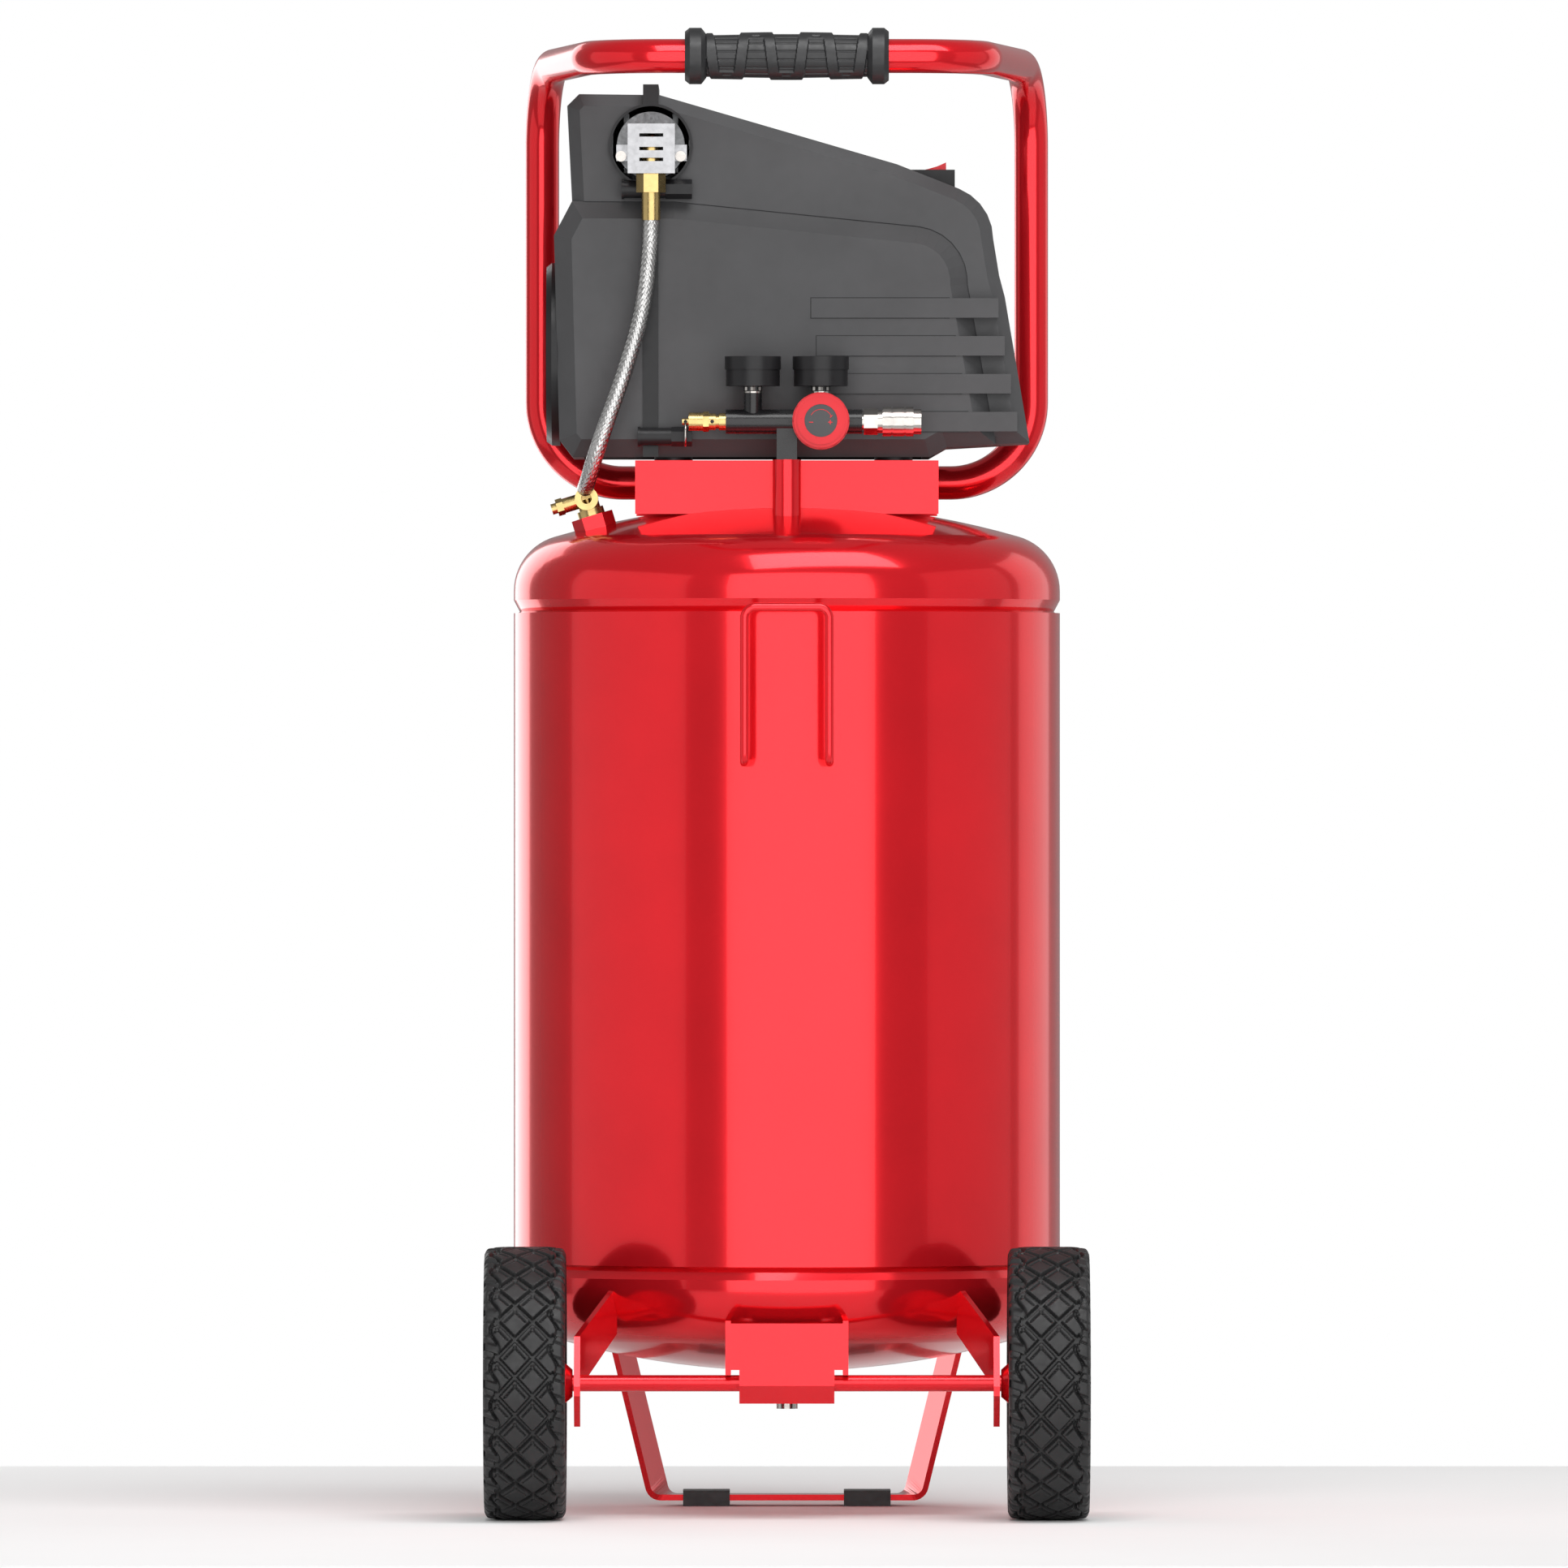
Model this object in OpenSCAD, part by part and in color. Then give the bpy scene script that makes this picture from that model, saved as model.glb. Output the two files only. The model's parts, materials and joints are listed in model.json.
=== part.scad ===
// Upright portable air compressor: a welded receiver on two wheels and a foot strap, an oil-free pump under a
// moulded cover, and a manifold with two gauges, a regulator, a relief valve and a quick coupler.
// The front is the wheel side (-Y). Heights are above the floor. Depths are measured from the tank's axis,
// and on_tank() moves them so that the origin is under the middle of the bounding box.

/* [Tank] */
// Outside radius of the receiver's shell
tank_r = 202.5; // [198:0.5:206]
// Sheet thickness of the receiver
tank_wall = 3; // [2.5:0.1:3.5]
// Height of the lower girth seam
seam_low = 184.8; // [182:0.2:188]
// Height of the upper girth seam
seam_high = 665.4; // [663:0.2:668]
// Crown radius of the dished heads
crown_r = 620; // [600:5:640]
// Knuckle radius of the dished heads
knuckle_r = 42; // [40:0.5:44]

/* [Handle and feet] */
// Outside radius of the handle tube
handle_tube_r = 12.5; // [11:0.5:13]
// Centreline radius of the handle's bends
handle_bend_r = 60; // [55:1:62]
// Half the distance between the upright handle tubes
handle_half_w = 182.2; // [181:0.2:186]
// Height of the grip bar's centreline
grip_z = 1072.2; // [1068:0.2:1080]
// Straight length of each arm between its bends
arm_len = 169; // [160:1:175]
// Angle by which the arms lean inwards
arm_toe_in = 9; // [7:0.5:10]
// Length of the rubber grip
grip_len = 149.4; // [140:0.2:155]
// Tyre radius
tyre_r = 100; // [98:0.5:100]
// Tyre width
tyre_w = 59.4; // [54:0.2:60]
// Distance from the mid plane to the tyre's inner side
tyre_in_x = 161.9; // [161:0.1:164]
// Radius of the axle
axle_r = 6; // [5:0.1:6.5]
// Width of the folded foot strap
strap_w = 35; // [30:1:38]

/* [Pump and cover] */
// Sheet thickness of the pump saddle
saddle_sheet = 3; // [2.5:0.1:3.5]
// Wall thickness of the moulded cover
cover_wall = 3; // [2.5:0.1:3.5]
// Radius of the cylinder bore
bore_r = 31.75; // [30:0.25:32]
// Throw of the eccentric
throw = 8; // [6:0.5:9]
// Radius of the motor's lamination stack
stator_r = 60; // [56:1:62]

/* [Air outlet] */
// Radius of the manifold bar
manifold_r = 9; // [8:0.5:9.5]
// Radius of a gauge case
gauge_r = 19.85; // [18:0.05:20]
// Radius of the regulator knob
knob_r = 21; // [20:0.5:22]
// Radius of the coupler's socket
socket_r = 6; // [5:0.1:6.5]

/* [Hidden] */

$fn = 96;
eps = 0.5;             // how far a cutting tool runs past the face it cuts
run_gap = 0.05;        // radial clearance of a running fit
skin_gap = 0.3;        // clearance between faces that move past each other
tank_y = 51.25;        // depth of the tank's axis in the part's own frame
tank_mid_z = (seam_low + seam_high) / 2;

// Dished head: the crown's centre, the knuckle's centre and the circle where the two arcs meet
head_edge_z = seam_high + 9.6;
knuckle_x = tank_r - knuckle_r;
knuckle_z = head_edge_z + 6.8;
crown_z = knuckle_z - sqrt(pow(crown_r - knuckle_r, 2) - pow(knuckle_x, 2));
tangent_x = knuckle_x * crown_r / (crown_r - knuckle_r);
skirt_len = 22;        // how far a head's skirt reaches into the shell
function dome_z(r) = crown_z + sqrt(crown_r * crown_r - r * r);
function under_z(r) = 2 * tank_mid_z - dome_z(r);

// Colours
red = [0.80, 0.06, 0.08];
dark_grey = [0.20, 0.20, 0.21];
black = [0.06, 0.06, 0.06];
rubber_black = [0.08, 0.08, 0.08];
brass = [0.78, 0.62, 0.30];
nickel = [0.75, 0.72, 0.70];
cast_grey = [0.62, 0.63, 0.65];
steel = [0.70, 0.70, 0.72];

// ---------------------------------------------------------------- shared shapes

module on_tank() { translate([0, tank_y, 0]) children(); }

module both_sides() {
    children();
    mirror([1, 0, 0]) children();
}

module bar_x(r, x0, x1) { translate([x0, 0, 0]) rotate([0, 90, 0]) cylinder(r = r, h = x1 - x0); }
module bar_y(r, y0, y1) { translate([0, y1, 0]) rotate([90, 0, 0]) cylinder(r = r, h = y1 - y0); }
module cone_x(r0, r1, x0, x1) {
    translate([x0, 0, 0]) rotate([0, 90, 0]) cylinder(r1 = r0, r2 = r1, h = x1 - x0);
}
// Hexagonal bar along X with two flats facing up and down
module hex_x(flats, x0, x1) {
    translate([x0, 0, 0]) rotate([0, 90, 0]) cylinder(r = flats / sqrt(3), h = x1 - x0, $fn = 6);
}
module hex_z(flats, z0, z1) { translate([0, 0, z0]) cylinder(r = flats / sqrt(3), h = z1 - z0, $fn = 6); }
module block(x0, x1, y0, y1, z0, z1) { translate([x0, y0, z0]) cube([x1 - x0, y1 - y0, z1 - z0]); }

// Bend of a round bar, bored to radius b: starts at the origin going up and turns towards +X
module bend(r, b, bend_r, angle) {
    translate([bend_r, 0, 0]) rotate([90, 0, 180]) rotate_extrude(angle = angle) translate([bend_r, 0])
        difference() {
            circle(r);
            if (b > 0) circle(b);
        }
}

// Straight length of a round bar, bored to radius b
module straight(r, b, length) {
    linear_extrude(length) difference() {
        circle(r);
        if (b > 0) circle(b);
    }
}

// Round bar along a chain of [straight length, roll, bend radius, bend angle] steps, starting upwards
module bar_run(r, b, steps, i = 0) {
    if (i < len(steps)) {
        step = steps[i];
        if (step[0] > 0) straight(r, b, step[0]);
        translate([0, 0, step[0]]) rotate([0, 0, step[1]]) {
            if (step[3] > 0) bend(r, b, step[2], step[3]);
            translate([step[2] * (1 - cos(step[3])), 0, step[2] * sin(step[3])])
                rotate([0, step[3], 0]) bar_run(r, b, steps, i + 1);
        }
    }
}

function arc(cx, cy, r, a0, a1, n) = [for (i = [0:n]) let (a = a0 + (a1 - a0) * i / n) [cx + r * cos(a), cy + r * sin(a)]];
function unit(v) = v / norm(v);

// Outline moved inwards by d with mitred corners; the outline runs anticlockwise
function inset(pts, d) = [for (i = [0:len(pts) - 1])
    let (n = len(pts), a = unit(pts[i] - pts[(i + n - 1) % n]), b = unit(pts[(i + 1) % n] - pts[i]),
         na = [-a[1], a[0]], nb = [-b[1], b[0]], m = unit(na + nb))
    pts[i] + m * d / (m * nb)];

// Solid between y0 and y1 over an outline in X and Z, with its front edge chamfered by c and its rear by cr
module chamfered_slab(pts, y0, y1, c, cr) {
    n = len(pts);
    rings = [[inset(pts, c), y0], [pts, y0 + c], [pts, y1 - cr], [inset(pts, cr), y1]];
    points = [for (ring = rings) for (p = ring[0]) [p[0], ring[1], p[1]]];
    sides = [for (k = [0:2]) for (i = [0:n - 1]) [k * n + i, k * n + (i + 1) % n, (k + 1) * n + (i + 1) % n, (k + 1) * n + i]];
    polyhedron(points, concat([[for (i = [n - 1:-1:0]) i]], sides, [[for (i = [0:n - 1]) 3 * n + i]]), convexity = 6);
}

// ---------------------------------------------------------------- tank

// Half section of a solid dished head, shrunk by t, from the tank's mid height up
module head_section(t) {
    intersection() {
        translate([0, crown_z]) circle(crown_r - t, $fn = 180);
        translate([0, tank_mid_z]) square([tangent_x * (crown_r - t) / crown_r, dome_z(0) - tank_mid_z + eps]);
    }
    translate([knuckle_x, knuckle_z]) circle(knuckle_r - t);
    translate([0, tank_mid_z]) square([tank_r - t, knuckle_z - tank_mid_z]);
}

// The whole tank as a solid, for trimming what is welded to it
module tank_solid() {
    rotate_extrude() {
        head_section(0);
        translate([0, 2 * tank_mid_z]) mirror([0, 1]) head_section(0);
    }
}

// Head at the top of the tank: dished crown, knuckle and a skirt stepped in to fit inside the shell
module dished_head() {
    skirt_r = tank_r - tank_wall - 0.05;
    neck = 4.5;
    rotate_extrude() difference() {
        union() {
            intersection() {
                head_section(0);
                translate([0, head_edge_z]) square([tank_r + eps, crown_r]);
            }
            polygon([[0, head_edge_z + 1], [tank_r, head_edge_z + 1], [tank_r, head_edge_z], [tank_r - neck, seam_high + 1],
                     [skirt_r, seam_high],
                     [skirt_r, seam_high - skirt_len], [0, seam_high - skirt_len]]);
        }
        intersection() {
            head_section(tank_wall + 0.01);
            translate([0, head_edge_z]) square([tank_r, crown_r]);
        }
        polygon([[0, head_edge_z], [tank_r - tank_wall - 0.01, head_edge_z], [tank_r - neck - tank_wall, seam_high + 1],
                 [skirt_r - tank_wall, seam_high - 3], [skirt_r - tank_wall, seam_high - skirt_len - eps],
                 [0, seam_high - skirt_len - eps]]);
    }
}

module tank_shell() {
    color(red) on_tank() translate([0, 0, seam_low]) difference() {
        cylinder(r = tank_r, h = seam_high - seam_low, $fn = 180);
        translate([0, 0, -eps]) cylinder(r = tank_r - tank_wall, h = seam_high - seam_low + 2 * eps, $fn = 180);
    }
}

pipe_y = -104;         // depth of the riser, manifold and gauges
pipe_r = 10.5;
bung_x = -141;         // where the check valve's bung stands on the head
bung_y = -44;
bung_tilt = 17;        // how far the bung leans outwards
bung_z = dome_z(norm([bung_x, bung_y])) - 2;
module at_bung() { translate([bung_x, bung_y, bung_z]) rotate([0, -bung_tilt, 0]) children(); }

module tank_top_head() {
    color(red) on_tank() difference() {
        dished_head();
        translate([0, pipe_y, tank_mid_z + 200]) cylinder(r = pipe_r - 2.5, h = 200);
        at_bung() translate([0, 0, -20]) cylinder(r = 9, h = 40);
    }
}

drain_r = 6;
module tank_bottom_head() {
    color(red) on_tank() difference() {
        translate([0, 0, 2 * tank_mid_z]) mirror([0, 0, 1]) dished_head();
        translate([0, 0, under_z(0) - 5]) cylinder(r = drain_r, h = 20);
    }
}

// Rod bent into an upturned U in front of the shell, with its two feet turned back and welded to it
hook_rod_r = 3.25;
hook_half_w = 31;
hook_top_z = 668.2;
hook_foot_z = 554.6;
hook_gap = 22;
hook_bend = 8;
module hose_hook() {
    leg = hook_top_z - hook_foot_z - 2 * hook_bend;
    color(red) on_tank() difference() {
        both_sides() {
            translate([0, -tank_r - hook_gap, hook_top_z]) rotate([0, 90, 0])
                bar_run(hook_rod_r, 0, [[hook_half_w - hook_bend, 0, hook_bend, 90], [leg, 90, hook_bend, 90],
                                        [hook_gap, 0, hook_bend, 0]]);
        }
        tank_solid();
    }
}

saddle_half_l = 112;
saddle_half_w = 70;
saddle_top = 777.8;
saddle_foot = 738.3;
module saddle_bracket() {
    color(red) on_tank() difference() {
        block(-saddle_half_l, saddle_half_l, -saddle_half_w, saddle_half_w, saddle_foot, saddle_top);
        block(-saddle_half_l - eps, saddle_half_l + eps, saddle_sheet - saddle_half_w, saddle_half_w - saddle_sheet,
              saddle_foot - eps, saddle_top - saddle_sheet);
        tank_solid();
    }
}

bung_h = 11;
module valve_bung() {
    color(red) on_tank() difference() {
        at_bung() hex_z(27, 0, bung_h);
        at_bung() translate([0, 0, -eps]) cylinder(r = 8, h = bung_h + 2 * eps);
        tank_solid();
    }
}

module riser_pipe() {
    color(red) on_tank() difference() {
        translate([0, pipe_y, dome_z(0) - 20]) cylinder(r = pipe_r, h = saddle_top - dome_z(0) + 20);
        translate([0, pipe_y, dome_z(0) - 30]) cylinder(r = pipe_r - 2.5, h = 100);
        tank_solid();
    }
}

// ---------------------------------------------------------------- handle

bar_floor_z = 763.2;
handle_rear_y = saddle_half_w + handle_tube_r;
grip_y = handle_rear_y - (handle_bend_r + arm_len) * cos(arm_toe_in) - handle_bend_r * (1 - sin(arm_toe_in));

// Centreline of the handle's right half, from the middle of the bottom bar round to the middle of the grip bar
bend_steps = 9;
toe = [-sin(arm_toe_in), -cos(arm_toe_in), 0];
toe_side = [-cos(arm_toe_in), sin(arm_toe_in), 0];
up = [0, 0, 1];
lower_bend = [handle_half_w - handle_bend_r, handle_rear_y, bar_floor_z + handle_bend_r];
upper_bend = [handle_half_w, handle_rear_y, grip_z - handle_bend_r] + handle_bend_r * toe;
front_bend = upper_bend + handle_bend_r * up + arm_len * toe + handle_bend_r * toe_side;
half_path = concat([for (i = [0:bend_steps]) let (a = 90 * i / bend_steps)
        lower_bend + handle_bend_r * [sin(a), 0, -cos(a)]],
    [for (i = [0:bend_steps]) let (a = 90 * i / bend_steps) upper_bend + handle_bend_r * (up * sin(a) - toe * cos(a))],
    [for (i = [0:bend_steps]) let (a = (90 - arm_toe_in) * i / bend_steps)
        front_bend + handle_bend_r * (toe * sin(a) - toe_side * cos(a))]);
handle_path = concat(half_path, [for (i = [len(half_path) - 1:-1:0]) [-half_path[i][0], half_path[i][1], half_path[i][2]]]);

// Closed loop of round tube along a path
module tube_loop(path, r, sides) {
    n = len(path);
    pts = [for (k = [0:n - 1]) let (ahead = unit(unit(path[(k + 1) % n] - path[k]) + unit(path[k] - path[(k + n - 1) % n])),
               u = unit(cross(ahead, [0, 1, 1])), v = cross(ahead, u))
           for (i = [0:sides - 1]) path[k] + r * (cos(360 * i / sides) * u + sin(360 * i / sides) * v)];
    polyhedron(pts, [for (k = [0:n - 1]) for (i = [0:sides - 1]) [k * sides + i, ((k + 1) % n) * sides + i,
        ((k + 1) % n) * sides + (i + 1) % sides, k * sides + (i + 1) % sides]], convexity = 8);
}

module handle_frame() {
    color(red) on_tank() tube_loop(handle_path, handle_tube_r, 24);
}

module handle_grip() {
    grip_r = 16.5;
    flange_r = 20.7;
    flange_w = 12;
    color(rubber_black) on_tank() translate([0, grip_y, grip_z]) difference() {
        union() {
            bar_x(grip_r - 1.2, -grip_len / 2, grip_len / 2);
            cone_x(grip_r - 1.2, grip_r + 0.6, -grip_len / 2 + flange_w, -12);
            bar_x(grip_r + 0.6, -12, 12);
            cone_x(grip_r + 0.6, grip_r - 1.2, 12, grip_len / 2 - flange_w);
            both_sides() {
                bar_x(flange_r, grip_len / 2 - flange_w + 3, grip_len / 2 - 2);
                cone_x(grip_r, flange_r, grip_len / 2 - flange_w, grip_len / 2 - flange_w + 3);
                cone_x(flange_r, flange_r - 2, grip_len / 2 - 2, grip_len / 2);
            }
        }
        bar_x(handle_tube_r + 0.02, -grip_len, grip_len);
    }
}

// ---------------------------------------------------------------- wheels and feet

axle_y = -205;
module at_axle() { translate([0, axle_y, tyre_r]) children(); }

bracket_x = 151.4;
bracket_t = 4.5;
bracket_bend_y = -190;
wing_angle = 35;       // from the fore-and-aft direction, towards the middle
module axle_brackets() {
    color(red) on_tank() both_sides() difference() {
        union() {
            translate([bracket_x, 0, 0]) rotate([90, 0, 90]) linear_extrude(bracket_t)
                polygon([[bracket_bend_y, 134], [bracket_bend_y - 6, 134], [-220, 98], [-220, 91], [-214, 84],
                         [-200, 68], [bracket_bend_y, 68]]);
            translate([bracket_x + bracket_t, bracket_bend_y, 0]) rotate([0, 0, wing_angle])
                translate([-bracket_t, 0, 0]) rotate([90, 0, 90]) linear_extrude(bracket_t)
                polygon([[0, 95], [0, 134], [48, 170], [48, 135]]);
        }
        at_axle() bar_x(axle_r, 0, 200);
        tank_solid();
    }
}

channel_half_w = 45;
lip_half_w = 34.8;
channel_front_y = -217;
channel_sheet = 4;
module centre_bracket() {
    color(red) on_tank() difference() {
        union() {
            block(-lip_half_w, lip_half_w, channel_front_y, channel_front_y + channel_sheet, 98.4, 144);
            block(-channel_half_w, channel_half_w, channel_front_y, channel_front_y + channel_sheet, 110, 144);
            both_sides() block(channel_half_w - channel_sheet, channel_half_w, channel_front_y, -150, 106.2, 146);
            translate([-lip_half_w, 0, 0]) rotate([90, 0, 90]) linear_extrude(2 * lip_half_w)
                polygon([[channel_front_y, 98.4], [channel_front_y + channel_sheet, 98.4],
                         [-201, 89], [-201, 85], [-204, 85]]);
        }
        at_axle() bar_x(axle_r, -60, 60);
        tank_solid();
    }
}

tyre_out_x = tyre_in_x + tyre_w;
rim_r = 58;
hub_r = 14.5;
module axle() {
    head_x = tyre_out_x - 12;
    color(red) on_tank() at_axle() {
        bar_x(axle_r, -head_x, head_x);
        both_sides() cone_x(13, 10, head_x, head_x + 4);
    }
}

module tyre() {
    crown = 2;
    color(rubber_black) on_tank() at_axle() translate([tyre_in_x, 0, 0]) rotate([0, 90, 0]) difference() {
        rotate_extrude($fn = 160) polygon([[rim_r, 0], [tyre_r - crown - 4, 0], [tyre_r - crown, 4],
            [tyre_r, tyre_w * 0.3], [tyre_r, tyre_w * 0.7], [tyre_r - crown, tyre_w - 4],
            [tyre_r - crown - 4, tyre_w], [rim_r, tyre_w]]);
    }
}
module right_tyre() { tyre(); }
module left_tyre() { mirror([1, 0, 0]) tyre(); }

module rim() {
    disc_x = tyre_w * 0.4;
    color(red) on_tank() at_axle() translate([tyre_in_x, 0, 0]) rotate([0, 90, 0]) rotate_extrude() {
        polygon([[rim_r - 3, 2], [rim_r, 2], [rim_r, tyre_w - 2], [rim_r - 3, tyre_w - 2]]);
        translate([axle_r + run_gap, disc_x]) square([rim_r - axle_r - run_gap - 1, 4]);
        polygon([[axle_r + run_gap, -5], [10, -5], [hub_r, 0], [hub_r, tyre_w - 20],
                 [hub_r - 2, tyre_w - 12 - skin_gap], [axle_r + run_gap, tyre_w - 12 - skin_gap]]);
    }
}
module right_rim() { rim(); }
module left_rim() { mirror([1, 0, 0]) rim(); }

// Flat bar folded up along a slanted line on each side, so that its legs lean forward as they rise
strap_t = 4.4;
strap_z = 4.2;
strap_y = 115;
fold_x = 88;
fold_slant = -20;
fold_angle = 83;
fold_r = 10;
leg_reach = 152;
fold_axis = [sin(fold_slant), cos(fold_slant), 0];
fold_out = [cos(fold_slant), -sin(fold_slant), 0];
function folded(s, t, h) = let (p = [s - fold_x, t, 0], u = p * fold_out, v = p * fold_axis,
        turn = min(max(u, 0), fold_r * fold_angle * PI / 180), a = turn / fold_r * 180 / PI, rest = max(u - turn, 0),
        ring = fold_r - h, q = fold_out * (min(u, 0) + ring * sin(a) + rest * cos(a)) + fold_axis * v)
    [fold_x + q[0], strap_y + q[1], strap_z + h + ring * (1 - cos(a)) + rest * sin(a)];

module strap_half() {
    stations = concat([0], [for (i = [0:12]) fold_x - 8 + i * 30 / 12], [fold_x + leg_reach]);
    n = len(stations);
    half = strap_w / 2;
    pts = [for (s = stations) for (c = [[-half, 0], [half, 0], [half, strap_t], [-half, strap_t]])
        folded(s, c[0], c[1])];
    polyhedron(pts, concat([[0, 1, 2, 3]], [for (k = [0:n - 2]) for (i = [0:3])
        [4 * k + i, 4 * k + 4 + i, 4 * k + 4 + (i + 1) % 4, 4 * k + (i + 1) % 4]],
        [[4 * n - 1, 4 * n - 2, 4 * n - 3, 4 * n - 4]]), convexity = 4);
}

module foot_strap() {
    color(red) on_tank() difference() {
        both_sides() strap_half();
        tank_solid();
    }
}

pad_in = 42.6;
pad_out = 77.4;
pad_h = 11.7;
module foot_pads() {
    color(rubber_black) on_tank() both_sides() difference() {
        block(pad_in, pad_out, strap_y - 21, strap_y + 21, 0, pad_h);
        block(pad_in - eps, pad_out + eps, strap_y - strap_w / 2, strap_y + strap_w / 2, strap_z, strap_z + strap_t);
    }
}

drain_top = under_z(0);
module drain_body() {
    color(brass) on_tank() {
        translate([0, 0, drain_top - 8]) cylinder(r = drain_r, h = 14);
        hex_z(14, drain_top - 14, drain_top - 1);
        translate([0, 0, 80]) cylinder(r = 3, h = 12);
    }
}

module drain_knob() {
    color(nickel) on_tank() translate([0, 0, 75.6]) difference() {
        union() {
            cylinder(r = 8, h = 9);
            translate([0, 0, 9]) cylinder(r = 7, h = 3);
        }
        translate([0, 0, 4]) cylinder(r = 3 + run_gap, h = 10);
    }
}

// ---------------------------------------------------------------- cover

cover_y0 = -80;        // front of the lower shroud
upper_y0 = -68;        // front of the upper shroud
cover_y1 = 67;         // back of both
cover_floor = 780.2;
motor_z = 857.4;
head_x = -100.5;       // the cylinder, its head and the round opening in the cover
opening_z = 1010.4;
opening_r = 29;

// The cover's sloping left side, and its X at a height
side_top = [-172, 944];
side_foot = [-168, 793];
function side_x(z) = side_foot.x + (z - side_foot.y) * (side_top.x - side_foot.x) / (side_top.y - side_foot.y);
// Outline of the whole cover in X and Z, anticlockwise as seen from the front
cover_outline = concat([[-158.1, cover_floor], [105.3, cover_floor], [118.2, 787.6], [179.3, 791.2], [161.1, 898.5],
    [156.9, 914.4]], arc(112.5, 941.5, 40, 0, 68, 5), [[81.3, 996.8], [-20.9, 1026.6], [-94.1, 1047.9],
    [-153.5, 1048.6], [-162.3, 1039.8], [-158.7, 969.2], side_top, side_foot]);
// The parting line of the proud lower shell, from its right foot up and over to the left
parting = concat([[154.2, 789.7], [133.5, 908]], arc(92.5, 910, 41, 5, 83, 6), [[-82.8, 969], [-158.7, 969.2]]);
lower_outline = concat([[-158.1, cover_floor], [105.3, cover_floor], [118.2, 787.6]], parting,
    [side_top, side_foot]);
far = 200;

// Keeps a thin moulded shell as one mesh: its walls are all flat facets, with no bore or fit among them
module moulding() { resize([0, 0, 0]) children(); }

// Prism between y0 and y1 over an outline in X and Z
module slab(pts, y0, y1) { translate([0, y1, 0]) rotate([90, 0, 0]) linear_extrude(y1 - y0) polygon(pts); }

louvre_pitch = 27.96;
louvre_h = 14.4;
louvre_top = 1;
louvre_z0 = 799;
module louvres() {
    for (i = [0:3]) {
        z = louvre_z0 + i * louvre_pitch;
        block(30 - 4 * i, 170 - 4.6 * i, cover_y0 - louvre_top, upper_y0 - skin_gap, z, z + louvre_h);
    }
}

module upper_shroud() {
    color(dark_grey) on_tank() moulding() difference() {
        chamfered_slab(cover_outline, upper_y0, cover_y1, 9, 9);
        chamfered_slab(inset(cover_outline, cover_wall), upper_y0 + cover_wall, cover_y1 - cover_wall, 7, 7);
        slab(concat(parting, [[-far, 969.2], [-far, 700], [154.2, 700]]), cover_y0, far);
        translate([head_x, 0, opening_z]) bar_y(opening_r, upper_y0 - 10, 0);
        block(87, 125, -16, 16, 950, 1000);
    }
}

vent_count = 6;
module lower_shroud() {
    color(dark_grey) on_tank() moulding() difference() {
        union() {
            chamfered_slab(lower_outline, cover_y0, cover_y1, 13, 9);
            louvres();
        }
        slab(inset(lower_outline, 14), cover_y0 + cover_wall, -20);
        chamfered_slab(inset(cover_outline, cover_wall), upper_y0 + cover_wall, cover_y1 - cover_wall, 7, 7);
        block(-150, 100, upper_y0 + 6, cover_y1 - 10, cover_floor - eps, cover_floor + 20);
        for (i = [0:vent_count - 1]) block(-20, 60, cover_y1 - 10, cover_y1 + eps, 880 + 10 * i, 885 + 10 * i);
        translate([0, 0, motor_z]) bar_x(60, -190, -150);
        translate([110, 0, 806]) bar_y(8, cover_y1 - 10, cover_y1 + eps);
    }
}

band_w = 11.4;
module joint_band() {
    ring_r = 30.9;
    x0 = head_x - band_w / 2;
    color(black) on_tank() {
        block(x0, x0 + band_w, cover_y0 - 1, cover_y0 - 0.01, cover_floor, 955);
        difference() {
            union() {
                translate([head_x, 0, opening_z]) bar_y(ring_r, upper_y0 - 4, upper_y0 - 0.01);
                block(x0, x0 + band_w, upper_y0 - 4, upper_y0 - 0.01, 1035, 1055.4);
                block(x0, x0 + band_w, upper_y0 - 0.5, cover_y1, 1049, 1055.4);
            }
            translate([head_x, 0, opening_z]) bar_y(opening_r, upper_y0 - 5, upper_y0 + eps);
        }
    }
}

// Clamping lugs: a round boss with a flared hexagonal end
module clamp_lug(len) {
    bar_x(6.6, 0, len * 0.62);
    hex_x(12.6, len * 0.62, len);
    bar_x(7.4, 0, 2);
}
module clamp_lugs() {
    color(black) on_tank() difference() {
        union() {
            translate([-122, -74, 977.9]) clamp_lug(52);
            translate([-110, -86.3, 795]) clamp_lug(40);
        }
        block(-130, -60, upper_y0 - 0.01, 0, 900, 1000);
        block(-130, -60, -70 - 12, 0, 780, 810);
        block(-130, -60, cover_y0 - 4, 0, 960, 969.4);
    }
}

guard_r = 67.8;
guard_face_x = -178;
module fan_guard() {
    ring_count = 4;
    color(black) on_tank() difference() {
        at_motor() union() {
            cone_x(guard_r - 3, guard_r, guard_face_x, guard_face_x + 4);
            bar_x(guard_r, guard_face_x + 4, -167.2);
        }
        at_motor() bar_x(58, guard_face_x + 4, -160);
        at_motor() for (i = [0:ring_count - 1]) difference() {
            bar_x(57 - 10 * i, guard_face_x - eps, -160);
            bar_x(51 - 10 * i, guard_face_x - 1, -150);
            for (a = [0:60:120]) rotate([a, 0, 0]) block(-185, -150, -3, 3, -60, 60);
        }
        slab([[side_x(700), 700], [0, 700], [0, 1000], [side_x(1000), 1000]], -100, 100);
    }
}

isolator_h = 5;
module isolators() {
    color(rubber_black) on_tank() for (x = [-84, 79]) for (y = [-42, 42])
        translate([x, y, saddle_top]) cylinder(r = 14, h = isolator_h);
}

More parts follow.
